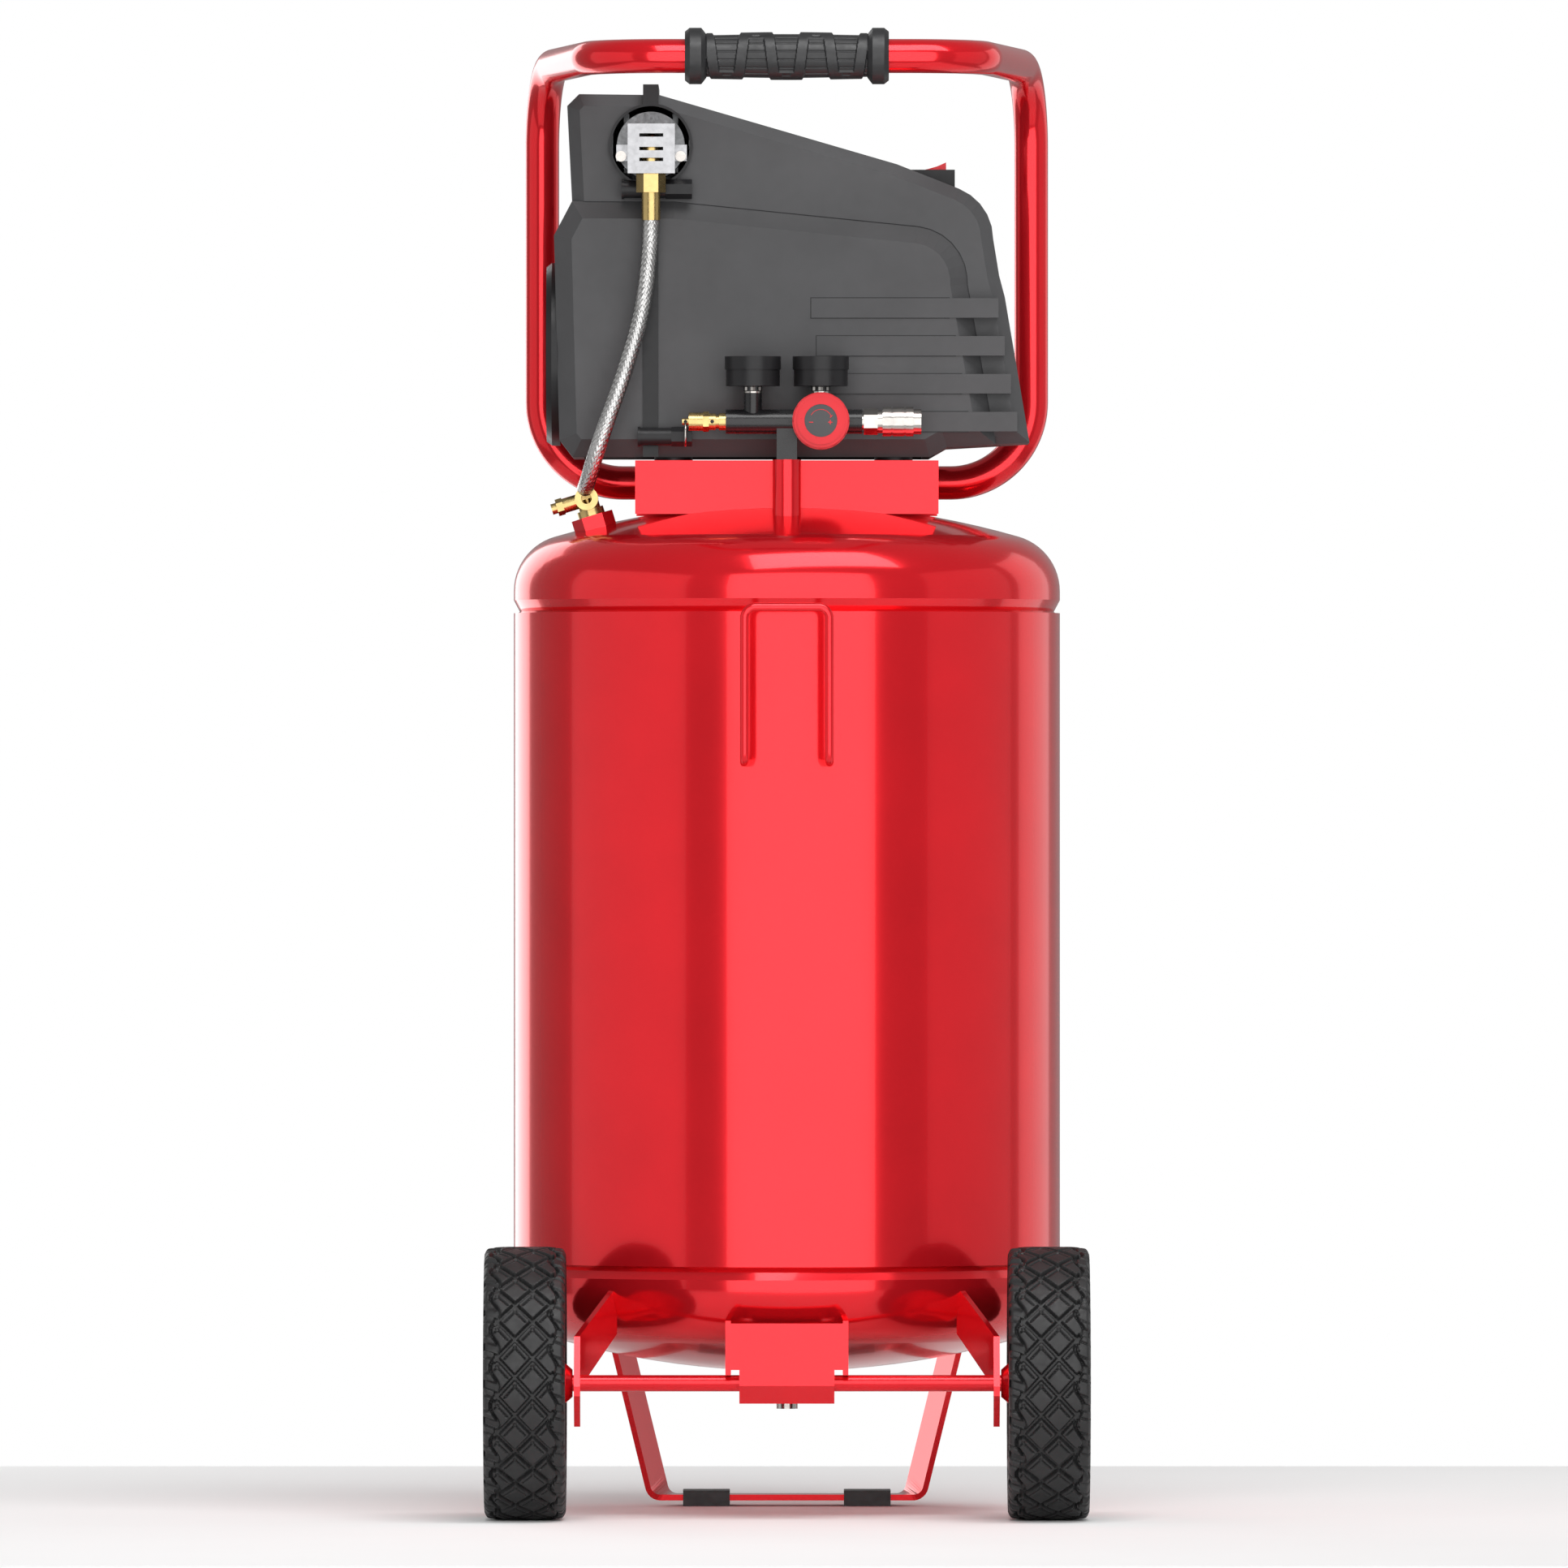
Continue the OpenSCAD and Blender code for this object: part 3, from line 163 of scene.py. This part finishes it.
def turned(name, color, rough, streak=(1, 1, 1)):
    """Machined or plated metal with faint tool marks."""
    g = Graph(name, color, rough, metal=1.0)
    g.color_from(g.noise(9 * MM, 4.0), scaled(color, 0.88), scaled(color, 1.08))
    g.rough_from(g.noise(3 * MM, 4.0), rough * 0.7, rough * 1.4)
    g.bump(g.noise(0.7 * MM, 2.0, streak), 0.01 * MM, 0.3)
    return g.mat


def cast(name, color, rough):
    g = Graph(name, color, rough, metal=0.85)
    g.color_from(g.noise(5 * MM, 5.0), scaled(color, 0.75), scaled(color, 1.1))
    g.rough_from(g.noise(2 * MM), rough - 0.08, rough + 0.12)
    g.bump(g.noise(0.9 * MM, 4.0), 0.12 * MM, 0.6)
    return g.mat


def lens():
    g = Graph("clear_lens", (0.95, 0.97, 1.0), 0.03)
    g.bsdf.inputs["Transmission Weight"].default_value = 1.0
    g.bsdf.inputs["IOR"].default_value = 1.45
    g.bump(g.noise(25 * MM), 0.02 * MM, 0.1)
    return g.mat


RED = (0.74, 0.010, 0.018)
MATERIALS = {
    "red_paint": enamel("red_enamel", RED),
    "black_rubber": rubber("soft_black_rubber", (0.014, 0.014, 0.015), 0.42),
    "tyre_rubber": rubber("tyre_rubber_compound", (0.013, 0.013, 0.0135), 0.5),
    "grey_shell": moulded("grey_moulded_cover", (0.058, 0.058, 0.060), 0.5),
    "black_plastic": moulded("black_moulded_plastic", (0.012, 0.012, 0.013), 0.34),
    "black_metal": moulded("black_satin_coating", (0.010, 0.010, 0.011), 0.26, 1.2 * MM, 0.01 * MM, 0.3),
    "red_plastic": moulded("red_gloss_plastic", (0.56, 0.010, 0.018), 0.3, 1.0 * MM, 0.01 * MM, 0.1),
    "brass": turned("bright_brass", (0.52, 0.38, 0.16), 0.24),
    "nickel": turned("nickel_plate", (0.46, 0.435, 0.41), 0.17),
    "polished_sheet": turned("polished_steel_sheet", (0.33, 0.33, 0.34), 0.28, (1, 1, 0.05)),
    "braid": turned("stainless_braid_wire", (0.44, 0.435, 0.43), 0.27),
    "machined_steel": turned("machined_steel_surface", (0.33, 0.33, 0.34), 0.32),
    "cast_aluminium": cast("sand_cast_aluminium", (0.20, 0.205, 0.21), 0.42),
    "dial_white": moulded("printed_dial_card", (0.82, 0.82, 0.80), 0.6),
    "clear_lens": lens(),
    "needle_black": moulded("needle_enamel", (0.02, 0.02, 0.02), 0.4),
}


def paint_nodes():
    """Gives each CAD node the material of its slot."""
    for part in frame["record"]["subparts"]:
        data = NODES[part["node"]].data
        data.materials.clear()
        data.materials.append(MATERIALS[part["material_slot"]])


def break_edges(names, width):
    """Small rounds on the sharp edges of pressed and moulded parts."""
    for name in names:
        bevel = NODES[name].modifiers.new("edge_round", "BEVEL")
        bevel.width = width
        bevel.segments = 2
        bevel.limit_method = "ANGLE"
        bevel.angle_limit = math.radians(35)
        bevel.harden_normals = False


# ---------------------------------------------------------------- mesh helpers

def piece(name, verts, faces, body, slot, replaced=(), smooth=True):
    mesh = bpy.data.meshes.new(name)
    mesh.from_pydata([tuple(v) for v in verts], [], faces)
    mesh.validate()
    mesh.materials.append(MATERIALS[slot])
    for poly in mesh.polygons:
        poly.use_smooth = smooth
    obj = bpy.data.objects.new(name, mesh)
    bpy.context.scene.collection.objects.link(obj)
    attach(obj, body)
    if replaced:
        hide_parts(*replaced)
    return obj


def grid_faces(rings, sides, closed=False):
    """Quads of a tube of rings, which joins up with itself when closed."""
    faces = []
    for k in range(rings if closed else rings - 1):
        n = (k + 1) % rings
        for i in range(sides):
            j = (i + 1) % sides
            faces.append((k * sides + i, n * sides + i, n * sides + j, k * sides + j))
    return faces


def capped(rings, sides):
    faces = grid_faces(rings, sides)
    faces.append(tuple(range(sides)))
    faces.append(tuple((rings - 1) * sides + i for i in reversed(range(sides))))
    return faces


def fract(v):
    return v - math.floor(v)


def step(edge, width, v):
    """0 below the edge and 1 above it, over a ramp of the given width."""
    t = min(1.0, max(0.0, (v - edge) / width + 0.5))
    return t * t * (3 - 2 * t)


def groove(distance, half_width, ramp):
    """1 in a groove and 0 beside it, from the distance to its middle."""
    return 1 - step(half_width, ramp, abs(distance))


# ---------------------------------------------------------------- tyres

TREAD_DEPTH = 3.2 * MM
BLOCKS = 22


def tread_height(turn, across):
    """Depth cut from the tread: turn in blocks round the tyre, across from -1 to 1."""
    side = abs(across)
    lean = across * 1.15
    a = fract(turn + lean) - 0.5
    b = fract(turn - lean + 0.5) - 0.5
    cut = 0.0
    if side < 0.72:
        cut = max(groove(a, 0.075, 0.05), groove(b, 0.075, 0.05))
        inner_a = fract(turn + lean + 0.24) - 0.5
        inner_b = fract(turn - lean + 0.74) - 0.5
        cut = max(cut, 0.45 * groove(inner_a, 0.03, 0.04) * step(0.16, 0.05, abs(b)))
        cut = max(cut, 0.45 * groove(inner_b, 0.03, 0.04) * step(0.16, 0.05, abs(a)))
    wave = 0.72 + 0.10 * math.cos(2 * math.pi * turn)
    cut = max(cut, groove(side - wave, 0.035, 0.05))
    if side > wave:
        lug = fract(turn + 0.25 + 0.35 * across) - 0.5
        cut = max(cut, groove(lug, 0.11, 0.06), 0.5 * groove(abs(lug) - 0.3, 0.03, 0.04))
    return cut


def tyre(node, body):
    """Tyre with its tread cut into the crown and lugs moulded into the upper side walls."""
    lo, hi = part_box(node)
    centre = (lo + hi) / 2
    radius = (hi.z - lo.z) / 2
    half = (hi.x - lo.x) / 2
    bead = 58 * MM
    crown = 2 * MM
    shoulder = 4 * MM
    wall_top = radius - crown - shoulder
    wall = wall_top - bead
    wall_steps = 8
    steps = 76
    section = []                # across the tyre: x, radius, and whether the tread is cut there
    for i in range(wall_steps + 1):
        section.append((-half, bead + wall * i / wall_steps, 0))
    for i in range(steps + 1):
        across = -1 + 2 * i / steps
        edge = max(0.0, abs(across) - 0.45) / 0.55
        r = radius - crown * edge ** 2
        x = across * half
        if abs(across) > 0.9:
            r -= shoulder * ((abs(across) - 0.9) / 0.1) ** 2 * 0.9
        section.append((x, r, 1))
    for i in range(wall_steps + 1):
        section.append((half, wall_top - wall * i / wall_steps, 0))
    turns = 1056
    verts = []
    for k in range(turns):
        a = 2 * math.pi * k / turns
        for x, r, tread in section:
            cut = 0.0
            if tread:
                cut = TREAD_DEPTH * tread_height(BLOCKS * k / turns, x / half)
            elif r > bead + 6 * MM:
                rib = groove(fract(BLOCKS * k / turns) - 0.5, 0.22, 0.08) * step(radius - 22 * MM, 3 * MM, r)
                x = x - math.copysign(0.9 * MM * (1 - rib), x)
            rr = r - cut
            verts.append((centre.x + x, centre.y + rr * math.sin(a), centre.z + rr * math.cos(a)))
    faces = grid_faces(turns, len(section), closed=True)
    obj = piece("tread_" + node, verts, faces, body, "tyre_rubber", (node,))
    smooth_by_angle(obj, 40)


def smooth_by_angle(obj, degrees):
    """Keeps edges sharper than the angle as creases."""
    mesh = obj.data
    sharp = math.radians(degrees)
    normals = [p.normal for p in mesh.polygons]
    owner = {}
    for poly in mesh.polygons:
        for key in poly.edge_keys:
            owner.setdefault(key, []).append(poly.index)
    for edge in mesh.edges:
        pair = owner.get(tuple(sorted(edge.vertices)), ())
        if len(pair) == 2 and normals[pair[0]].angle(normals[pair[1]], 0) > sharp:
            edge.use_edge_sharp = True


# ---------------------------------------------------------------- handle and grip

def handle():
    """Smooth tube round the loop, from the CAD handle's box and its bend radius."""
    lo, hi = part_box("handle_frame")
    r = 12.5 * MM
    bend = 60 * MM
    toe_in = math.radians(9)
    width = hi.x - r
    rear = hi.y - r
    floor = lo.z + r
    top = hi.z - r
    front = lo.y + r
    toe = Vector((-math.sin(toe_in), -math.cos(toe_in), 0))
    toe_side = Vector((-math.cos(toe_in), math.sin(toe_in), 0))
    up = Vector((0, 0, 1))
    arm = ((rear - front) - bend * (1 - math.sin(toe_in))) / math.cos(toe_in) - bend
    lower = Vector((width - bend, rear, floor + bend))
    upper = Vector((width, rear, top - bend)) + bend * toe
    turn = upper + bend * up + arm * toe + bend * toe_side
    steps = 24
    half = []
    for i in range(steps + 1):
        a = math.pi / 2 * i / steps
        half.append(lower + bend * Vector((math.sin(a), 0, -math.cos(a))))
    for i in range(steps + 1):
        a = math.pi / 2 * i / steps
        half.append(upper + bend * (up * math.sin(a) - toe * math.cos(a)))
    for i in range(steps + 1):
        a = (math.pi / 2 - toe_in) * i / steps
        half.append(turn + bend * (toe * math.sin(a) - toe_side * math.cos(a)))
    path = half + [Vector((-p.x, p.y, p.z)) for p in reversed(half)]
    sides = 40
    count = len(path)
    verts = []
    for k, p in enumerate(path):
        ahead = (path[(k + 1) % count] - p).normalized() + (p - path[k - 1]).normalized()
        ahead.normalize()
        u = ahead.cross(Vector((0, 1, 1))).normalized()
        v = ahead.cross(u)
        for i in range(sides):
            a = 2 * math.pi * i / sides
            verts.append(p + r * (math.cos(a) * u + math.sin(a) * v))
    faces = grid_faces(count, sides, closed=True)
    piece("handle_tube", verts, faces, "frame", "red_paint", ("handle_frame",))


GRIP_PITCH = 43.8 * MM


def wrapped(v):
    """Distance along the grip to the nearest repeat of its pattern."""
    return (fract(v / GRIP_PITCH + 0.5) - 0.5) * GRIP_PITCH


def grip_radius(along, turn, length):
    """Outer radius of the rubber grip at a distance from its middle and an angle in turns."""
    side = abs(along)
    end = length / 2
    taper = end - 15.6 * MM
    if side > taper:
        rise = min(1.0, (side - taper) / (3.6 * MM)) * 4.6 * MM
        fall = max(0.0, side - (end - 3.4 * MM)) * 0.8
        return 16.1 * MM + rise - fall
    base = 15.2 * MM + 0.9 * MM * math.cos(math.pi * along / length) ** 2
    lift = 4 * abs(fract(turn - 0.25) - 0.5) - 1
    lean = 3.3 * MM * lift
    strap = min(abs(wrapped(along + 11.3 * MM + lean)), abs(wrapped(along - 10.6 * MM - lean)))
    raised = 1 - step(4.0 * MM, 0.8 * MM, strap)
    middle = abs(wrapped(along + (22.3 if lift > 0 else 0.35) * MM))
    raised = max(raised, step(0.5, 0.06, abs(lift)) * (1 - step(8.2 * MM, 0.8 * MM, middle)))
    notch = groove(abs(lift) - 0.61, 0.055, 0.03) * (1 - step(3.0 * MM, 0.8 * MM, middle))
    line = groove(fract(turn * 16) - 0.5, 0.10, 0.08)
    return base + (1.5 * raised - 0.7 * (1 - raised) * line - 0.7 * notch) * MM


def grip():
    lo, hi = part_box("handle_grip")
    centre = (lo + hi) / 2
    length = hi.x - lo.x
    bore = 12.6 * MM
    rings = 300
    sides = 360
    verts = []
    for i in range(sides):
        a = 2 * math.pi * i / sides
        verts.append((lo.x, centre.y + bore * math.cos(a), centre.z + bore * math.sin(a)))
    for k in range(rings + 1):
        along = -length / 2 + length * k / rings
        for i in range(sides):
            a = 2 * math.pi * i / sides
            r = grip_radius(along, i / sides, length)
            verts.append((centre.x + along, centre.y + r * math.cos(a), centre.z + r * math.sin(a)))
    for i in range(sides):
        a = 2 * math.pi * i / sides
        verts.append((hi.x, centre.y + bore * math.cos(a), centre.z + bore * math.sin(a)))
    obj = piece("ribbed_grip", verts, grid_faces(rings + 3, sides, closed=True), "frame", "black_rubber",
                ("handle_grip",))
    smooth_by_angle(obj, 45)


# ---------------------------------------------------------------- braided hose

HOSE_RADIUS = 6 * MM
HOSE_ROUTE = [(-100.2, -92, 954.6), (-101.5, -94, 930), (-107, -99, 888), (-119, -104, 845),
              (-134, -106, 802), (-142, -101, 778), (-147, -88, 762), (-149, -70, 757)]


def route_point(t, offset):
    last = len(HOSE_ROUTE) - 1
    i = min(int(t), last - 1)
    u = t - i
    a, b, c, d = (Vector(HOSE_ROUTE[min(max(j, 0), last)]) for j in (i - 1, i, i + 1, i + 2))
    p = b + (c - a) * u / 2 + (a * 2 - b * 5 + c * 4 - d) * u * u / 2 + (b * 3 - a - c * 3 + d) * u ** 3 / 2
    return p * MM + offset


def weave(along, turn):
    """Height of a woven wire braid: bundles of wires that pass over and under each other."""
    bundles = 12
    pitch = 1 / 26e-3
    left = turn * bundles + along * pitch * bundles / 2
    right = turn * bundles - along * pitch * bundles / 2
    over = math.floor(left + right) % 2 == 0
    strand = fract(left) - 0.5 if over else fract(right) - 0.5
    crown = math.sqrt(max(0.0, 1 - (strand / 0.52) ** 2))
    wires = 0.25 * abs(math.cos(3 * math.pi * strand * 2))
    return 0.55 * MM * (crown - 1) + 0.18 * MM * wires - 0.05 * MM


def braided_hose():
    span = len(HOSE_ROUTE) - 1
    rings = 760
    sides = 144
    offset = Vector((0, (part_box("tank_shell")[0].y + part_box("tank_shell")[1].y) / 2, 0))
    points = [route_point(span * k / rings, offset) for k in range(rings + 1)]
    verts = []
    along = 0.0
    for k, p in enumerate(points):
        if k:
            along += (p - points[k - 1]).length
        ahead = (points[min(k + 1, rings)] - points[max(k - 1, 0)]).normalized()
        u = ahead.cross(Vector((0, 0.3, 1))).normalized()
        v = ahead.cross(u)
        for i in range(sides):
            a = 2 * math.pi * i / sides
            r = HOSE_RADIUS + weave(along, i / sides)
            verts.append(p + r * (math.cos(a) * u + math.sin(a) * v))
    piece("braided_hose", verts, capped(rings + 1, sides), "frame", "braid", ("delivery_hose",))


# ---------------------------------------------------------------- gauge and knob marks

def boxes(name, items, body, slot):
    """One mesh of thin bars, each given by its centre, its two half axes and its thickness direction."""
    verts, faces = [], []
    for centre, u, v, w in items:
        base = len(verts)
        for s in ((-1, -1), (1, -1), (1, 1), (-1, 1)):
            for t in (-1, 1):
                verts.append(centre + u * s[0] + v * s[1] + w * t)
        quad = [base, base + 2, base + 4, base + 6]
        faces.append(tuple(reversed(quad)))
        faces.append(tuple(q + 1 for q in quad))
        for i in range(4):
            a, b = quad[i], quad[(i + 1) % 4]
            faces.append((a, b, b + 1, a + 1))
    return piece(name, verts, faces, body, slot, smooth=False)


def dial_marks():
    """Ticks round each gauge's dial, over three quarters of a turn."""
    lo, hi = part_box("gauge_dials")
    radius = (hi.y - lo.y) / 2
    for name, x in (("tank_dial_marks", lo.x + radius), ("outlet_dial_marks", hi.x - radius)):
        centre = Vector((x, (lo.y + hi.y) / 2, hi.z + 0.12 * MM))
        items = []
        ticks = 50
        for i in range(ticks + 1):
            a = math.radians(225 - 270 * i / ticks)
            out = Vector((math.cos(a), math.sin(a), 0))
            length = 2.1 * MM if i % 5 == 0 else 1.1 * MM
            thick = 0.28 * MM if i % 5 == 0 else 0.14 * MM
            side = Vector((-out.y, out.x, 0)) * thick
            items.append((centre + out * (radius - 2.4 * MM - length / 2), out * length / 2, side,
                          Vector((0, 0, 0.05 * MM))))
        boxes(name, items, "frame", "needle_black")


def gauge_nuts():
    """Plated hexagonal nut with a round collar under each gauge."""
    lo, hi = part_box("gauge_cases")
    bezel = (hi.y - lo.y) / 2
    for name, x in (("tank_gauge_nut", lo.x + bezel), ("outlet_gauge_nut", hi.x - bezel)):
        centre = Vector((x, (lo.y + hi.y) / 2, lo.z))
        # Radius and height in millimetres, and whether the ring is hexagonal
        profile = [(4.0, 0.1, 0), (6.9, 0.1, 0), (6.9, 1.3, 0), (6.2, 1.4, 1), (6.75, 1.9, 1), (6.75, 4.5, 1),
                   (6.2, 5.0, 1), (4.0, 5.0, 0)]
        sides = 96
        verts = []
        for r, z, hexagonal in profile:
            for i in range(sides):
                a = 2 * math.pi * i / sides
                flat = 0.87 / math.cos((a + math.pi / 6) % (math.pi / 3) - math.pi / 6) if hexagonal else 1
                verts.append(centre + Vector((r * flat * math.cos(a), r * flat * math.sin(a), z)) * MM)
        obj = piece(name, verts, grid_faces(len(profile), sides, closed=True), "frame", "nickel")
        smooth_by_angle(obj, 25)


def louvre_shade_lines():
    """Thin dark bars round the four long louvres of the lower cover: painted shade along the raised louvres'
    edges.
    """
    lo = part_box("lower_shroud")[0]
    proud = 1 * MM              # how far the louvres stand out of the cover's front
    first, pitch, height = 18.8, 27.96, 14.4
    gap, half_line, half_thick = 0.35 * MM, 0.3 * MM, 0.06 * MM
    y = lo.y + proud - half_thick
    thick = Vector((0, half_thick, 0))
    items = []
    for i in range(4):
        z0 = lo.z + (first + pitch * i) * MM
        z1 = z0 + height * MM
        x0 = (30 - 4 * i) * MM
        x1 = (134 - 4.6 * i) * MM
        for z in (z0 - gap, z1 + gap):
            items.append((Vector(((x0 + x1) / 2, y, z)), Vector(((x1 - x0) / 2, 0, 0)),
                          Vector((0, 0, half_line)), thick))
        items.append((Vector((x0 - gap, y, (z0 + z1) / 2)), Vector((half_line, 0, 0)),
                      Vector((0, 0, (z1 - z0) / 2 + gap + half_line)), thick))
    # Black bars set just off the cover's front, painted shade where the louvres stand out of it
    boxes("louvre_painted_shade", items, "frame", "black_plastic")


def knob_marks():
    """Generic less and more marks with a curved arrow between them on the knob's cap."""
    lo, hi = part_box("knob_cap")
    centre = Vector(((lo.x + hi.x) / 2, lo.y - 0.05 * MM, (lo.z + hi.z) / 2))
    thick = Vector((0, 0.1 * MM, 0))
    x, z = Vector((MM, 0, 0)), Vector((0, 0, MM))
    items = [(centre - 7.2 * x - 1.2 * z, 1.5 * x, 0.32 * z, thick),
             (centre + 6.9 * x - 1.2 * z, 1.6 * x, 0.32 * z, thick),
             (centre + 6.9 * x - 1.2 * z, 0.32 * x, 1.6 * z, thick * 1.1)]
    steps = 14
    for i in range(steps):
        a = math.radians(150 - 125 * (i + 0.5) / steps)
        out = Vector((math.cos(a), 0, math.sin(a)))
        side = Vector((-out.z, 0, out.x))
        items.append((centre + out * 8.2 * MM, side * 0.70 * MM, out * 0.22 * MM, thick))
    tip = centre + Vector((math.cos(math.radians(22)), 0, math.sin(math.radians(22)))) * 8.2 * MM
    items.append((tip, Vector((0.9, 0, 0.9)) * MM, Vector((0.2, 0, -0.2)) * MM, thick))
    boxes("knob_marks", items, "knob", "red_plastic")


# ---------------------------------------------------------------- studio

def floor():
    size = 1.1
    mesh = bpy.data.meshes.new("studio_floor")
    corners = [(-size, -size, 0), (size, -size, 0), (size, size, 0), (-size, size, 0)]
    mesh.from_pydata(corners, [], [(0, 1, 2, 3)])
    g = Graph("studio_floor_paper", (0.94, 0.94, 0.94), 0.9, specular=0.1)
    g.color_from(g.noise(0.4), (0.95, 0.95, 0.95), (0.97, 0.97, 0.97))
    mesh.materials.append(g.mat)
    obj = bpy.data.objects.new("studio_floor", mesh)
    bpy.context.scene.collection.objects.link(obj)
    obj.location.z = CAD_BOX[0].z


def softbox(name, azimuth, distance, height, width, tall, power):
    """Area light at an azimuth from the front, aimed at the tank's axis and tipped only a little."""
    light = bpy.data.lights.new(name, "AREA")
    light.shape = "RECTANGLE"
    light.size = width
    light.size_y = tall
    light.energy = power
    obj = bpy.data.objects.new(name, light)
    bpy.context.scene.collection.objects.link(obj)
    a = math.radians(azimuth)
    obj.location = (distance * math.sin(a), -distance * math.cos(a), height)
    aim = Vector((0, 0, 0.62)) - obj.location
    aim.z = 0.15 * aim.z
    obj.rotation_euler = aim.to_track_quat("-Z", "Y").to_euler()
    obj.visible_camera = False


def world():
    """White to the camera, soft grey to everything that reflects it."""
    w = bpy.data.worlds.new("studio_world")
    bpy.context.scene.world = w
    w.use_nodes = True
    nodes, links = w.node_tree.nodes, w.node_tree.links
    background = nodes["Background"]
    background.inputs["Color"].default_value = (1, 1, 1, 1)
    path = nodes.new("ShaderNodeLightPath")
    mix = nodes.new("ShaderNodeMapRange")
    mix.inputs["To Min"].default_value = 0.30
    mix.inputs["To Max"].default_value = 1.0
    links.new(path.outputs["Is Camera Ray"], mix.inputs["Value"])
    links.new(mix.outputs["Result"], background.inputs["Strength"])


def camera():
    data = bpy.data.cameras.new("long_lens")
    data.sensor_width = 36.0
    data.lens = 500.0
    frame_width = 1.1592
    distance = frame_width * data.lens / data.sensor_width
    obj = bpy.data.objects.new("long_lens", data)
    bpy.context.scene.collection.objects.link(obj)
    target = Vector((-2.1 * MM, 0, 538.8 * MM))
    obj.location = target + Vector((0, -distance, 0))
    obj.rotation_euler = (math.pi / 2, 0, 0)
    data.clip_end = 60
    bpy.context.scene.camera = obj


def studio():
    floor()
    world()
    softbox("front_box", 6, 3.0, 0.75, 3.6, 3.6, 88)
    softbox("left_box", -72, 3.0, 0.8, 3.4, 3.0, 16)
    softbox("right_box", 84, 3.0, 0.8, 2.6, 3.0, 7)
    softbox("right_back_card", 128, 2.6, 0.7, 1.4, 3.0, 9)
    softbox("left_back_card", -150, 2.6, 0.7, 1.2, 3.0, 20)
    softbox("top_box", 20, 1.2, 3.2, 2.2, 2.2, 82)
    bpy.context.scene.view_settings.view_transform = "Standard"


# ---------------------------------------------------------------- build

camera()
paint_nodes()
break_edges(["upper_shroud", "lower_shroud"], 0.7 * MM)
break_edges(["joint_band", "clamp_lugs", "heat_guard", "saddle_bracket", "centre_bracket", "axle_brackets",
             "pressure_switch", "foot_pads", "rocker"], 0.5 * MM)
handle()
grip()
tyre("left_tyre", "left_wheel")
tyre("right_tyre", "right_wheel")
braided_hose()
dial_marks()
knob_marks()
gauge_nuts()
louvre_shade_lines()
studio()
